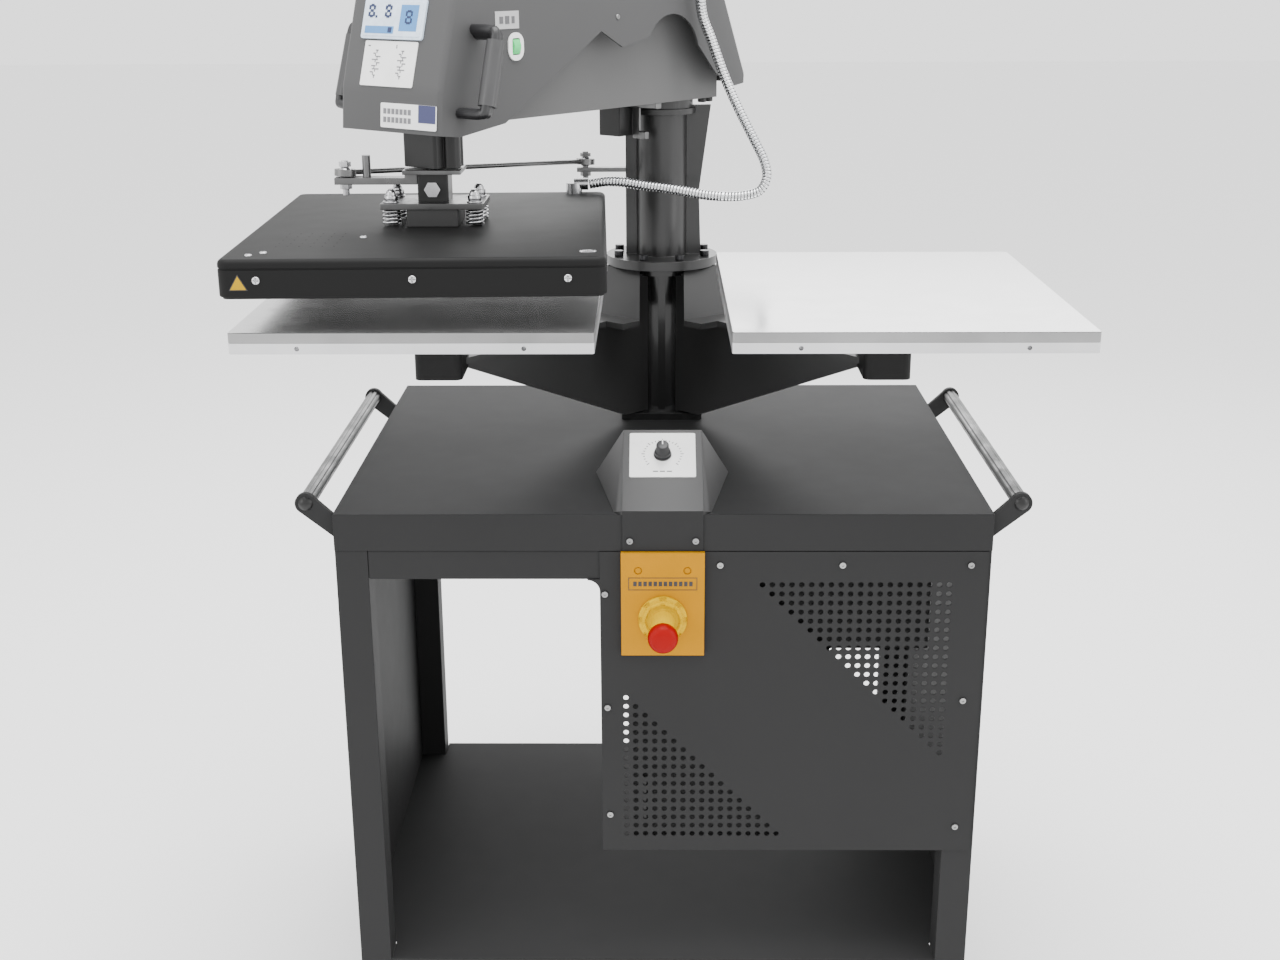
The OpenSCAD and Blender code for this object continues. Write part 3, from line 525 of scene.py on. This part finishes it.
cap_profile = [
    (0.0, -0.0850), (0.0060, -0.0850), (0.0060, -0.0215), (0.0132, -0.0210), (0.0150, -0.0202),
    (0.0172, -0.0175), (0.0181, -0.0150), (0.0183, -0.0120), (0.0181, -0.0088), (0.0172, -0.0056),
    (0.0152, -0.0030), (0.0118, -0.0011), (0.0070, -0.0002), (0.0, 0.0)]
button = new_piece("estop_mushroom", *moved(lathe(cap_profile, 64), button_place), red_plastic)
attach(button, "estop")
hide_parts("estop_button")
legend_place = facing((column_x, box_low.y, 0.713), (0, -1, 0))
mark_sink = 0.0002


def frame_bars(half_w, half_h, line, lift):
    """Four thin bars round a rectangle."""
    return [bar((-half_w, half_h - line, -mark_sink), (half_w, half_h, lift)),
            bar((-half_w, -half_h, -mark_sink), (half_w, line - half_h, lift)),
            bar((-half_w, line - half_h, -mark_sink), (line - half_w, half_h - line, lift)),
            bar((half_w - line, line - half_h, -mark_sink), (half_w, half_h - line, lift))]


legend_pitch = 0.0062
legend_marks = [bar((-0.036 + legend_pitch * k, -0.0030, -mark_sink),
                    (-0.0318 + legend_pitch * k, 0.0030, 0.0002)) for k in range(12)]
legend_bars = frame_bars(0.042, 0.0082, 0.0008, 0.0003) + legend_marks
legend = new_piece("estop_legend_frame", *moved(joined(legend_bars), legend_place), ink)
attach(legend, "root")


# ---- Push handles ----
# Fluted alloy tubes along both sides, each held by two rounded straps with domed black bolts.
# The plates are coated like the stand and rise a little from the table's lip.
def bright_plate(name, colour, roughness):
    """Polished plating with faint clouding and fine scratches."""
    material, nodes, links, shader, point = finish_of(name)
    shader.inputs["Metallic"].default_value = 1.0
    cloud = noise(nodes, links, point, 22, 4)
    mottled(nodes, links, shader, cloud, [c * 0.86 for c in colour], colour)
    links.new(ranged(nodes, links, cloud, roughness * 0.6, roughness * 1.6), shader.inputs["Roughness"])
    relief(nodes, links, shader, noise(nodes, links, point, 900, 2, (1, 0.05, 1)), 0.12, 0.00003)
    return material


chrome_plate = bright_plate("chrome_plate", (0.72, 0.73, 0.74), 0.14)
tube_alloy = bright_plate("fluted_tube_alloy", (0.17, 0.17, 0.17), 0.4)
gloss_black = powder_coat("gloss_black_paint", (0.0085, 0.0085, 0.0085), 0.24, 500, 0.00006, coat=0.35)
bolt_black = powder_coat("bolt_black", (0.008, 0.008, 0.008), 0.3, 700, 0.00004)
softened("side_handles", tube_alloy, 0.0004)
softened("handle_brackets", stand_coat, 0.0012)
softened("handle_bolts", bolt_black, 0.0008)


# ---- Casters ----
# Zinc-plated swivel casters: a plate with a kingpin, a pressed fork and a rubber wheel.
# The wheels turn on bolts through the forks.
plate_zinc = brushed_metal("plate_zinc", (0.70, 0.71, 0.72), (0.50, 0.51, 0.53), 0.30, (1, 1, 1))
softened("caster_mounts", plate_zinc, 0.0008)


def tyre_rubber(name):
    """Black rubber, scuffed grey and dusty from the floor."""
    material, nodes, links, shader, point = finish_of(name)
    dust = noise(nodes, links, point, 60, 6)
    mottled(nodes, links, shader, dust, (0.016, 0.016, 0.016), (0.05, 0.049, 0.046))
    links.new(ranged(nodes, links, dust, 0.55, 0.85), shader.inputs["Roughness"])
    relief(nodes, links, shader, noise(nodes, links, point, 700, 3), 0.4, 0.0002)
    return material


caster_rubber = tyre_rubber("caster_rubber")
for corner in ("fl", "fr", "bl", "br"):
    softened("caster_fork_" + corner, plate_zinc, 0.0006)
    softened("caster_wheel_" + corner, caster_rubber, 0.0022, 3)


# ---- Switchgear case and air regulator ----
# A black sheet case behind the front panel, and the filter regulator that feeds the cylinder.
# Both stand inside the stand, out of the way of the shelf.
case_enamel = powder_coat("case_enamel", (0.012, 0.012, 0.012), 0.5)
softened("control_box", case_enamel, 0.0015)
softened("air_regulator", case_enamel, 0.0012)


# ---- Pedestal, arms and bed supports ----
# Heavy welded steel: a hub on a foot plate, two gusseted arms and a block under each bed.
# It is sprayed gloss black, thick enough to soften the edges.
softened("pedestal", gloss_black, 0.003, 3)
arm_black = powder_coat("arm_black", (0.026, 0.026, 0.026), 0.34, 500, 0.00006, gloss=0.5)
arms = softened("pedestal_arms", arm_black, 0.0025, 3)
pad_black = powder_coat("pad_black", (0.004, 0.004, 0.004), 0.55, 500, gloss=0.2)
pad_side, pad_front, pad_half_width, pad_half_depth = 0.2752, 0.3497, 0.0292, 0.047
pad_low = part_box("bed_bases")[0].z - 0.060
retouch(arms, pad_black, lambda at: at.z > pad_low
        and abs(abs(at.x - column_x) - pad_side) < pad_half_width
        and abs(at.y - column_y + pad_front) < pad_half_depth)


# ---- Beds ----
# Each bed is a bright milled aluminium plate with a second plate on it, faced very light grey; that plate's sides
# carry painted reflection and painted shade.
# Two tapped holes in the front edge take a fence.
bed_alloy = brushed_metal("bed_alloy", (0.74, 0.74, 0.75), (0.60, 0.60, 0.61), 0.34, (0.05, 1, 1), 0.00005)


def faced_plate_with_painted_side_reflection(name, face, edge):
    """Light facing on top, with painted reflection on the sides: faces that look away from up get the darker tone.
    """
    material, nodes, links, shader, point = finish_of(name)
    normal = nodes.new("ShaderNodeTexCoord").outputs["Normal"]
    split = nodes.new("ShaderNodeSeparateXYZ")
    links.new(normal, split.inputs["Vector"])
    # Painted reflection: the less a face looks up, the more it takes the dark edge tone.
    facing_over_painted_reflection = ranged(nodes, links, split.outputs["Z"], 0, 1, 0.75, 0.95)
    links.new(two_tone(nodes, links, facing_over_painted_reflection, edge, face), shader.inputs["Base Color"])
    shader.inputs["Metallic"].default_value = 0.9
    links.new(ranged(nodes, links, noise(nodes, links, point, 30, 5), 0.15, 0.21), shader.inputs["Roughness"])
    relief(nodes, links, shader, noise(nodes, links, point, 300, 2), 0.05, 0.00001)
    return material


softened("bed_bases", bed_alloy, 0.0008)
bed_plates = softened("bed_tops", faced_plate_with_painted_side_reflection("bed_facing_with_painted_side_reflection", (0.66, 0.66, 0.66), (0.13, 0.13, 0.13)), 0.0008)
# Painted shade: the top plate's sides, below its rounded top edge, get a darker metal than the plate is.
bed_side_painted_shade = brushed_metal("bed_side_painted_shade", (0.34, 0.34, 0.34), (0.24, 0.24, 0.24), 0.40, (0.2, 0.2, 1))
bed_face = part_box("bed_tops")[1].z
retouch(bed_plates, bed_side_painted_shade, lambda at: at.z < bed_face - 0.0009)


# ---- Column, its bolts and the fixed crank ----
# A ribbed steel tube bolted to the pedestal by its flange, with the swing shaft on top.
# The crank's stud holds the rod that keeps the platen square.
column_black = powder_coat("column_paint", (0.015, 0.015, 0.015), 0.36, 500, 0.00006, gloss=0.5, coat=0.12)
black_oxide = brushed_metal("black_oxide", (0.05, 0.05, 0.052), (0.025, 0.025, 0.027), 0.32, (1, 1, 1))
bright_steel = brushed_metal("bright_steel", (0.60, 0.60, 0.61), (0.38, 0.38, 0.39), 0.24, (1, 1, 0.2))
dull_steel = brushed_metal("dull_steel", (0.22, 0.22, 0.22), (0.10, 0.10, 0.10), 0.34, (1, 1, 0.3))
softened("column", column_black, 0.0026, 3)
softened("column_bolts", black_oxide, 0.0008)
softened("column_crank", dull_steel, 0.0006)
softened("rod_ball", bright_steel, 0.0003)
softened("tie_rod", dull_steel, 0.0006)


# ---- Arm, bushes and cylinder ----
# The arm is a welded box with a bored hub that turns on bronze bushes round the column's shaft.
# The air cylinder stands in its far end and pushes the ram down through the guide block.
arm_coat = powder_coat("arm_paint", (0.105, 0.105, 0.105), 0.5, gloss=0.25)
bronze = brushed_metal("bush_bronze", (0.62, 0.42, 0.20), (0.46, 0.30, 0.13), 0.3, (1, 1, 0.2))
black_block = powder_coat("block_black", (0.010, 0.010, 0.010), 0.34, 600, 0.00008)
softened("swing_arm", arm_coat, 0.0012)
softened("swing_bushes", bronze, 0.0006)
softened("air_cylinder", bright_steel, 0.0012)
softened("guide_block", black_block, 0.0018, 3)
softened("head_elbow", bright_steel, 0.0006)


# ---- Stop block, its hooked strap and the arm's bolts ----
# A black rubber-faced block and a bent zinc strap under the arm's root, and two bolt heads.
# They are screwed to the underside, so they swing with the head.
def loose_solids(node):
    """Each separate solid of a node as (verts, faces)."""
    shape = plain_shape(node)
    shape.faces.ensure_lookup_table()
    left, solids = set(shape.faces), []
    while left:
        queue, group = [left.pop()], []
        while queue:
            face = queue.pop()
            group.append(face)
            for edge in face.edges:
                for other in edge.link_faces:
                    if other in left:
                        left.remove(other)
                        queue.append(other)
        index = {}
        for face in group:
            for vert in face.verts:
                index.setdefault(vert, len(index))
        solids.append(([v.co.copy() for v in index], [[index[v] for v in f.verts] for f in group]))
    shape.free()
    return solids


stops = sorted(loose_solids("stop_bracket"), key=lambda solid: min(v.z for v in solid[0]))
stop_names = ["stop_strap", "stop_block", "arm_bolt_inner", "arm_bolt_outer"]
stop_looks = [dull_steel, black_block, bolt_black, bolt_black]
for name, look, solid in zip(stop_names, stop_looks, stops):
    piece = new_piece(name, *solid, look)
    edges = piece.modifiers.new("edges", "BEVEL")
    edges.width = 0.0009
    edges.segments = 2
    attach(piece, "head")
    if name == "stop_strap":
        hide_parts("stop_bracket")


# ---- Head cover ----
# Steel sheet folded over the arm and cylinder, open below, with cut-outs in both cheeks.
# Its corners are rounded and it is powder coated mid grey.
arm_angle = math.radians(38.2)
along = Vector((-math.sin(arm_angle), -math.cos(arm_angle), 0))
to_side = Vector((math.cos(arm_angle), -math.sin(arm_angle), 0))
arm_frame = Matrix((along, to_side, Vector((0, 0, 1)))).transposed().to_4x4()
arm_frame = Matrix.Translation((column_x, column_y, 0)) @ arm_frame
cover_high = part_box("head_cover")[1].z
cover_half = 0.083
cover_sheet = 0.003
nose_foot, nose_knee, nose_top = (0.517, 1.247), (0.513, 1.296), (0.456, cover_high)
cover_shell = [nose_foot, nose_knee, nose_top, (0.040, cover_high), (0.012, cover_high - 0.012),
               (-0.086, 1.284), (-0.085, 1.272)]
cheek_low = [(-0.058, 1.269), (-0.015, 1.288)]
for k in range(15):
    a = math.radians(165 - 135 * k / 14)
    cheek_low.append((0.082 + 0.058 * math.cos(a), 1.313 + 0.056 * math.sin(a)))
cheek_low += [(0.186, 1.331), (0.228, 1.352), (0.406, 1.253), (0.482, 1.243)]

head_grey = powder_coat("head_powder_coat", (0.064, 0.064, 0.0648), 0.48, gloss=0.25)
cover = bmesh.new()
rims = []
for side in (-1, 1):
    rims.append([cover.verts.new((u, side * cover_half, z)) for u, z in cover_shell])
    low = [cover.verts.new((u, side * cover_half, z)) for u, z in cheek_low]
    cover.faces.new(rims[-1] + low)
for a, b, c, d in zip(rims[0], rims[0][1:], rims[1][1:], rims[1]):
    cover.faces.new((a, b, c, d))
cover.verts.index_update()
bmesh.ops.recalc_face_normals(cover, faces=cover.faces)
folds = [e for e in cover.edges if len(e.link_faces) == 2]
bmesh.ops.bevel(cover, geom=folds, offset=0.007, segments=5, affect="EDGES", clamp_overlap=True, profile=0.5)
cover.verts.index_update()
cover_verts = [arm_frame @ v.co for v in cover.verts]
cover_faces = [[v.index for v in f.verts] for f in cover.faces]
cover.free()
cover_piece = new_piece("head_cover_shell", cover_verts, cover_faces, head_grey, 32)
thicken = cover_piece.modifiers.new("sheet", "SOLIDIFY")
thicken.thickness = cover_sheet
thicken.offset = -1
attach(cover_piece, "head")
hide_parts("head_cover")


# ---- Controller ----
# A lit panel in a thin frame, set into the leaning nose where the operator reads it.
# Two figures stand for the time, one in a box for the heat, over a bar of soft keys.
def leaning_frame(low, high):
    """Frame on the nose between two corners of the cover's outline, +X out and +Z up the slope."""
    lean = math.atan((low[0] - high[0]) / (high[1] - low[1]))
    return arm_frame @ Matrix.Translation((low[0], 0, low[1])) @ Matrix.Rotation(-lean, 4, "Y")


nose_frame = leaning_frame(nose_knee, nose_top)
foot_frame = leaning_frame(nose_foot, nose_knee)


def plate_marks(frame_at, centre, lift, marks):
    """Thin raised marks on a plate: each is (across, up, width, height) from its centre."""
    parts = []
    for across, up, width, height in marks:
        y, z = centre[0] + across, centre[1] + up
        parts.append(bar((lift - mark_sink, y - width / 2, z - height / 2),
                         (lift + 0.0003, y + width / 2, z + height / 2)))
    return moved(joined(parts), frame_at)


def figure_eight(across, up, width, height, stroke):
    """The seven strokes of one lit figure."""
    rows = [(across, up + side * (height - stroke) / 2, width - 2 * stroke, stroke) for side in (-1, 0, 1)]
    posts = [(across + side * (width - stroke) / 2, up + half * height / 4, stroke, height / 2 - stroke)
             for side in (-1, 1) for half in (-1, 1)]
    return rows + posts


def lit(name, colour, strength):
    """Lit face: plastic that glows a little unevenly from the lamp behind it."""
    material, nodes, links, shader, point = finish_of(name)
    glow = two_tone(nodes, links, ranged(nodes, links, noise(nodes, links, point, 120, 2), 0, 1),
                    [c * 0.85 for c in colour], colour)
    links.new(glow, shader.inputs["Base Color"])
    links.new(glow, shader.inputs["Emission Color"])
    shader.inputs["Emission Strength"].default_value = strength
    shader.inputs["Roughness"].default_value = 0.2
    return material


screen_white = lit("screen_white", (0.62, 0.72, 0.84), 0.35)
navy = moulded("navy_figures", (0.010, 0.020, 0.075), 0.3)
sky = moulded("sky_panel", (0.075, 0.24, 0.52), 0.3)
softened("controller_display", screen_white, 0.0006)
display_at = (-0.006, 0.079)
sky_marks = [(0.0270, 0.0010, 0.0290, 0.0300), (-0.0200, -0.0130, 0.0480, 0.0085)]
figures = (figure_eight(-0.0360, 0.0085, 0.0108, 0.0155, 0.0030) + [(-0.0275, 0.0020, 0.0028, 0.0028)]
           + figure_eight(-0.0080, 0.0085, 0.0108, 0.0155, 0.0030)
           + figure_eight(0.0270, 0.0020, 0.0110, 0.0160, 0.0026) + [(-0.0020, -0.0130, 0.0060, 0.0060)])
sky_fields = new_piece("display_fields", *plate_marks(nose_frame, display_at, 0.0040, sky_marks), sky)
lit_figures = new_piece("display_figures", *plate_marks(nose_frame, display_at, 0.0043, figures), navy)
for piece in (sky_fields, lit_figures):
    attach(piece, "head")


# ---- Nose plates and switch label ----
# White laminate plates riveted to the nose, one with two columns of line drawings, one with a
# blue corner. A small grey label stands over the switch. None carries words.
softened("nose_plates", white_laminate, 0.0003)
print_grey = moulded("print_grey", (0.16, 0.16, 0.17), 0.5)
drawing_strokes = [(0, 0.004), (-0.004, 0.003), (0.003, 0.007), (-0.002, 0.009), (0.004, 0.005),
                   (-0.003, 0.006), (0.001, 0.010), (-0.005, 0.004), (0.000, 0.003)]
drawing_pitch = 0.0036
drawing_marks = []
for column in (-0.022, 0.021):
    for k, (shift, width) in enumerate(drawing_strokes):
        drawing_marks.append((column + shift, 0.015 - drawing_pitch * k, width * 1.15, 0.0013))
        drawing_marks.append((column + shift * 0.5, 0.0132 - drawing_pitch * k, 0.0012, 0.0030))
drawing_marks += [(-0.036, 0.020, 0.004, 0.0014), (0.010, 0.020, 0.0015, 0.004)]
rule_marks = [(-0.0385 + 0.0068 * k, up, 0.0050, 0.0062) for up in (0.0048, -0.0048) for k in range(7)]
corner_marks = [(0.031, 0.004, 0.028, 0.0198)]
drawing_at, foot_plate_at, plate_lift = (-0.005, 0.028), (0.034, 0.019), 0.0010
drawn = plate_marks(nose_frame, drawing_at, plate_lift, drawing_marks)
ruled = plate_marks(foot_frame, foot_plate_at, plate_lift, rule_marks)
cornered = plate_marks(foot_frame, foot_plate_at, plate_lift, corner_marks)
drawings = new_piece("plate_drawings", *drawn, print_grey)
rules = new_piece("plate_rules", *ruled, print_grey)
indigo = moulded("indigo_field", (0.030, 0.034, 0.11), 0.4)
corner = new_piece("plate_corner", *cornered, indigo)
label_place = Matrix.Translation((0.399, cover_half, 1.3705))
cheek_frame = arm_frame @ label_place @ Matrix.Rotation(math.pi / 2, 4, "Z")
label_grey = moulded("label_grey", (0.42, 0.42, 0.42), 0.4)
label_sheet = plate_marks(cheek_frame, (0, 0), 0.0004, [(0, 0, 0.040, 0.020)])
label = new_piece("switch_label", *label_sheet, label_grey)
label_marks = [(-0.010, 0, 0.006, 0.008), (0.0, 0, 0.007, 0.009), (0.010, 0, 0.005, 0.008)]
label_print = plate_marks(cheek_frame, (0, 0), 0.0008, label_marks)
label_lines = new_piece("switch_label_marks", *label_print, pale_ink)
screw_profile = [(0.0, 0.0), (0.0036, 0.0), (0.0035, 0.0010), (0.0026, 0.0020), (0.0010, 0.0021),
                 (0.0, 0.0012)]
screw_turn = Matrix.Rotation(-math.pi / 2, 4, "X")
cheek_screws = []
for u, z in ((0.196, 1.3682), (0.040, 1.455), (0.250, 1.478), (0.440, 1.478)):
    place = arm_frame @ Matrix.Translation((u, cover_half - mark_sink, z)) @ screw_turn
    cheek_screws.append(moved(lathe(screw_profile, 24), place))
cheek_heads = new_piece("cover_screws", *joined(cheek_screws), screw_zinc, 50)
for piece in (drawings, rules, corner, label, label_lines, cheek_heads):
    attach(piece, "head")


# ---- Grips ----
# Bow-shaped moulded handles on the cheeks: flat black legs and a round charcoal grip between.
# Each leans with the nose and is screwed on from inside the cover.
grip_charcoal = moulded("grip_charcoal", (0.040, 0.040, 0.041), 0.42)
grip_root, grip_knee, grip_end = 0.0832, 0.105, 0.006
grip_legs, grip_sleeves = [], []
for side in (-1, 1):
    foot, head = Vector((0.478, side * 0.120, 1.270)), Vector((0.452, side * 0.117, 1.359))
    lean = (head - foot).normalized()
    outward = Vector((0, side * 0.001, 0))
    bow = [Vector((foot.x, side * grip_root, foot.z)), Vector((foot.x, side * grip_knee, foot.z)),
           foot + Vector((0, -side * 0.003, 0.001)), foot + lean * grip_end + outward,
           foot.lerp(head, 0.5) + 1.5 * outward, head - lean * grip_end + outward,
           head + Vector((0, -side * 0.003, -0.001)), Vector((head.x, side * grip_knee, head.z)),
           Vector((head.x, side * grip_root, head.z))]
    path = [arm_frame @ point for point in smooth_route(bow, 0, len(bow) - 1, 8)]
    grip_legs.append(sweep(path, lambda run, a: 0.0104 - 0.0048 * math.sin(a) ** 2, 20, along))
    sleeve = [arm_frame @ (foot.lerp(head, 0.10 + 0.80 * k / 20) + outward) for k in range(21)]
    grip_sleeves.append(sweep(sleeve, lambda run, a: 0.0109 - 0.0006 * math.cos(3 * a) ** 8, 32, along))
legs = new_piece("grip_bows", *joined(grip_legs), black_plastic, 60)
sleeves = new_piece("grip_sleeves", *joined(grip_sleeves), grip_charcoal, 60)
for piece in (legs, sleeves):
    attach(piece, "head")
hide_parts("cheek_handles")


# ---- Rocker switch ----
# A lit green rocker in an oval white frame, snapped into the operator's cheek.
# It tips on the pin behind it, and its lamp shows that the heater is on.
green_lens = lit("green_lens", (0.05, 0.55, 0.16), 0.5)
softened("rocker_frame", white_laminate, 0.0008)
softened("rocker_switch", green_lens, 0.0008)


# ---- Ram, crank plate, clevis, springs and boss ----
# The chromed ram ends above a plated crank, and a bolted clevis hangs the platen from it.
# Four coil springs let the platen settle level on the work.
softened("ram_rod", chrome_plate, 0.0006)
crank = softened("crank_plate", dull_steel, 0.0007)
crank_low, crank_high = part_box("crank_plate")
stud_x, stud_y = crank_low.x + 0.012, (crank_low.y + crank_high.y) / 2
retouch(crank, bright_steel, lambda at: math.hypot(at.x - stud_x, at.y - stud_y) < 0.0085
        and not crank_low.z + 0.0139 < at.z < crank_low.z + 0.0221)
knuckle = softened("clevis", black_block, 0.0016, 3)
bolt_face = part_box("clevis")[0].y + 0.0055
retouch(knuckle, bright_steel, lambda at: at.y < bolt_face)
spreader = softened("spring_plate", dull_steel, 0.0008)
plate_low, plate_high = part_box("spring_plate")
plate_middle = (plate_low + plate_high) / 2
spreader_top = plate_low.z + 0.0072
retouch(spreader, bright_steel, lambda at: at.z > spreader_top)
softened("platen_boss", powder_coat("boss_paint", (0.030, 0.030, 0.030), 0.4), 0.0015)
softened("conduit_gland", bright_steel, 0.0008)
washer = [(0.0, 0.0), (0.0090, 0.0), (0.0093, 0.0004), (0.0093, 0.0014), (0.0090, 0.0018), (0.0, 0.0018)]
nut = [(0.0, 0.0017), (0.0074, 0.0017), (0.0080, 0.0024), (0.0080, 0.0080), (0.0072, 0.0088), (0.0, 0.0088)]
dome = [(0.0, 0.0087), (0.0062, 0.0087), (0.0060, 0.0110), (0.0050, 0.0134), (0.0034, 0.0150), (0.0, 0.0158)]
nut_parts = []
for x in (-0.050, 0.050):
    for y in (-0.026, 0.026):
        at = Matrix.Translation((plate_middle.x + x, plate_middle.y + y, spreader_top - mark_sink))
        nut_parts += [moved(lathe(washer, 28), at), moved(lathe(nut, 6), at), moved(lathe(dome, 28), at)]
nuts = new_piece("spreader_nuts", *joined(nut_parts), bright_steel, 50)
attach(nuts, body_of["spring_plate"])
spring_low, spring_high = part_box("pressure_springs")
spring_mean, spring_inset, wire, turns, steps = 0.0095, 0.011, 0.0016, 4.0, 96
height = spring_high.z - spring_low.z - 2 * wire
coils = []
for x in (spring_low.x + spring_inset, spring_high.x - spring_inset):
    for y in (spring_low.y + spring_inset, spring_high.y - spring_inset):
        helix = []
        for k in range(steps + 1):
            a = 2 * math.pi * turns * k / steps
            helix.append(Vector((x + spring_mean * math.cos(a), y + spring_mean * math.sin(a),
                                 spring_low.z + wire + height * k / steps)))
        coils.append(sweep(helix, lambda run, angle: wire, 10))
springs = new_piece("pressure_spring_coils", *joined(coils), bright_steel, 60)
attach(springs, "platen")
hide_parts("pressure_springs")


# ---- Platen ----
# A cast heating plate under a pressed black cover with a rolled top edge and a seam below it.
# Screws through the cover's sides and top hold the two together.
platen_enamel = powder_coat("platen_enamel", (0.0075, 0.0075, 0.0075), 0.56, 700, 0.00008, gloss=0.12)
cover_low, cover_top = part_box("platen_cover")
platen_middle = Vector(((cover_low.x + cover_top.x) / 2, (cover_low.y + cover_top.y) / 2, 0))
platen_place = Matrix.Translation(platen_middle) @ Matrix.Rotation(math.radians(2), 4, "Z")
platen_half, platen_deep, corner_radius, roll, cover_wall = 0.210, 0.2575, 0.012, 0.006, 0.0018


def rounded_ring(inset, z):
    """Points round the cover at a height, moved in from its outline."""
    points, radius = [], max(corner_radius - inset, 0.003)
    for quarter, (sx, sy) in enumerate(((1, 1), (-1, 1), (-1, -1), (1, -1))):
        for k in range(9):
            a = math.pi / 2 * (quarter + k / 8)
            points.append(Vector((sx * (platen_half - inset - radius) + radius * math.cos(a),
                                  sy * (platen_deep - inset - radius) + radius * math.sin(a), z)))
    return points


low, high = cover_low.z, cover_top.z
seam = high - 0.0105
layers = [(cover_wall, high - cover_wall), (cover_wall, low + 0.001), (0.0008, low), (0.0002, low + 0.0006),
          (0.0, low + 0.002), (0.0, seam - 0.0012), (0.0010, seam - 0.0006), (0.0010, seam + 0.0006),
          (0.0, seam + 0.0012)]
for k in range(8):
    a = math.pi / 2 * k / 7
    layers.append((roll * (1 - math.cos(a)), high - roll + roll * math.sin(a)))
rings = [rounded_ring(*layer) for layer in layers]
count = len(rings[0])
cover_faces = [tuple(range(count))]
for i in range(len(rings) - 1):
    for k in range(count):
        j = (k + 1) % count
        cover_faces.append((i * count + k, i * count + j, (i + 1) * count + j, (i + 1) * count + k))
cover_faces.append(tuple((len(rings) - 1) * count + k for k in range(count)))
cover_shape = moved(([v for ring in rings for v in ring], cover_faces), platen_place)
platen_shell = new_piece("platen_cover_shell", *cover_shape, platen_enamel, 30)
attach(platen_shell, "platen")
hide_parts("platen_cover")
softened("heater_plate", powder_coat("release_coating", (0.006, 0.006, 0.006), 0.6, 500, gloss=0.2), 0.001)


# ---- Platen screws and warning plate ----
# Cross-head screws hold the cover in front and on top, and one slot gives access to the sensor.
# A yellow triangle on the front warns that the plate is hot.
def cross_head(radius):
    """Domed screw head with a cross recess pressed into it."""
    verts, faces = lathe([(0, 0), (radius, 0), (radius, radius * 0.25), (radius * 0.85, radius * 0.38),
                          (radius * 0.62, radius * 0.46), (radius * 0.36, radius * 0.49),
                          (radius * 0.18, radius * 0.50), (0, radius * 0.50)], 32)
    for vert in verts:
        if vert.z > radius * 0.44 and min(abs(vert.x), abs(vert.y)) < radius * 0.09:
            vert.z -= radius * 0.3
    return verts, faces


to_front = Matrix.Rotation(math.pi / 2, 4, "X")
platen_heads = []
for x in (-0.1675, 0.0, 0.1675):
    front = platen_place @ Matrix.Translation((x, -platen_deep, low + 0.0185)) @ to_front
    platen_heads.append(moved(cross_head(0.0044), front))
for x, y in ((-0.1792, -0.2313), (-0.1660, -0.2160), (-0.0706, -0.1160)):
    top = platen_place @ Matrix.Translation((x, y, high - mark_sink))
    platen_heads.append(moved(cross_head(0.0040), top))
plug_verts, plug_faces = lathe([(0, 0), (0.0050, 0), (0.0048, 0.0012), (0.0, 0.0018)], 32)
for vert in plug_verts:
    vert.x *= 1.9
slot_place = platen_place @ Matrix.Translation((0.189, -0.2225, high - mark_sink))
platen_heads.append(moved((plug_verts, plug_faces), slot_place))
heads = new_piece("platen_screws", *joined(platen_heads), bright_steel, 50)
stud_profile = [(0, 0), (0.0011, 0), (0.0008, 0.0005), (0, 0.0006)]
stud_parts = []
for row in range(5):
    for column in range(6):
        spot = Matrix.Translation((-0.160 + 0.013 * column, -0.175 + 0.022 * row, high - 0.0003))
        stud_parts.append(moved(lathe(stud_profile, 12), platen_place @ spot))
studs = new_piece("platen_vent_studs", *joined(stud_parts), platen_enamel, 50)
hazard_yellow = moulded("hazard_yellow", (0.40, 0.24, 0.0), 0.5, gloss=0.15)


def triangle(size, lift):
    """Flat triangular plate standing on one side, its face at the lift given."""
    corners = [Vector((size * math.cos(a), size * math.sin(a), 0)) for a in
               (math.pi / 2, math.pi * 7 / 6, math.pi * 11 / 6)]
    verts = [c + Vector((0, 0, z)) for z in (0, lift) for c in corners]
    return verts, [(2, 1, 0), (3, 4, 5), (0, 1, 4, 3), (1, 2, 5, 4), (2, 0, 3, 5)]


sign_place = platen_place @ Matrix.Translation((-0.187, -platen_deep, low + 0.0135)) @ to_front
sign_back = new_piece("warning_border", *moved(triangle(0.0118, 0.0003), sign_place), ink)
sign_face = new_piece("warning_triangle", *moved(triangle(0.0098, 0.0006), sign_place), hazard_yellow)
for piece in (heads, studs, sign_back, sign_face):
    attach(piece, "platen")
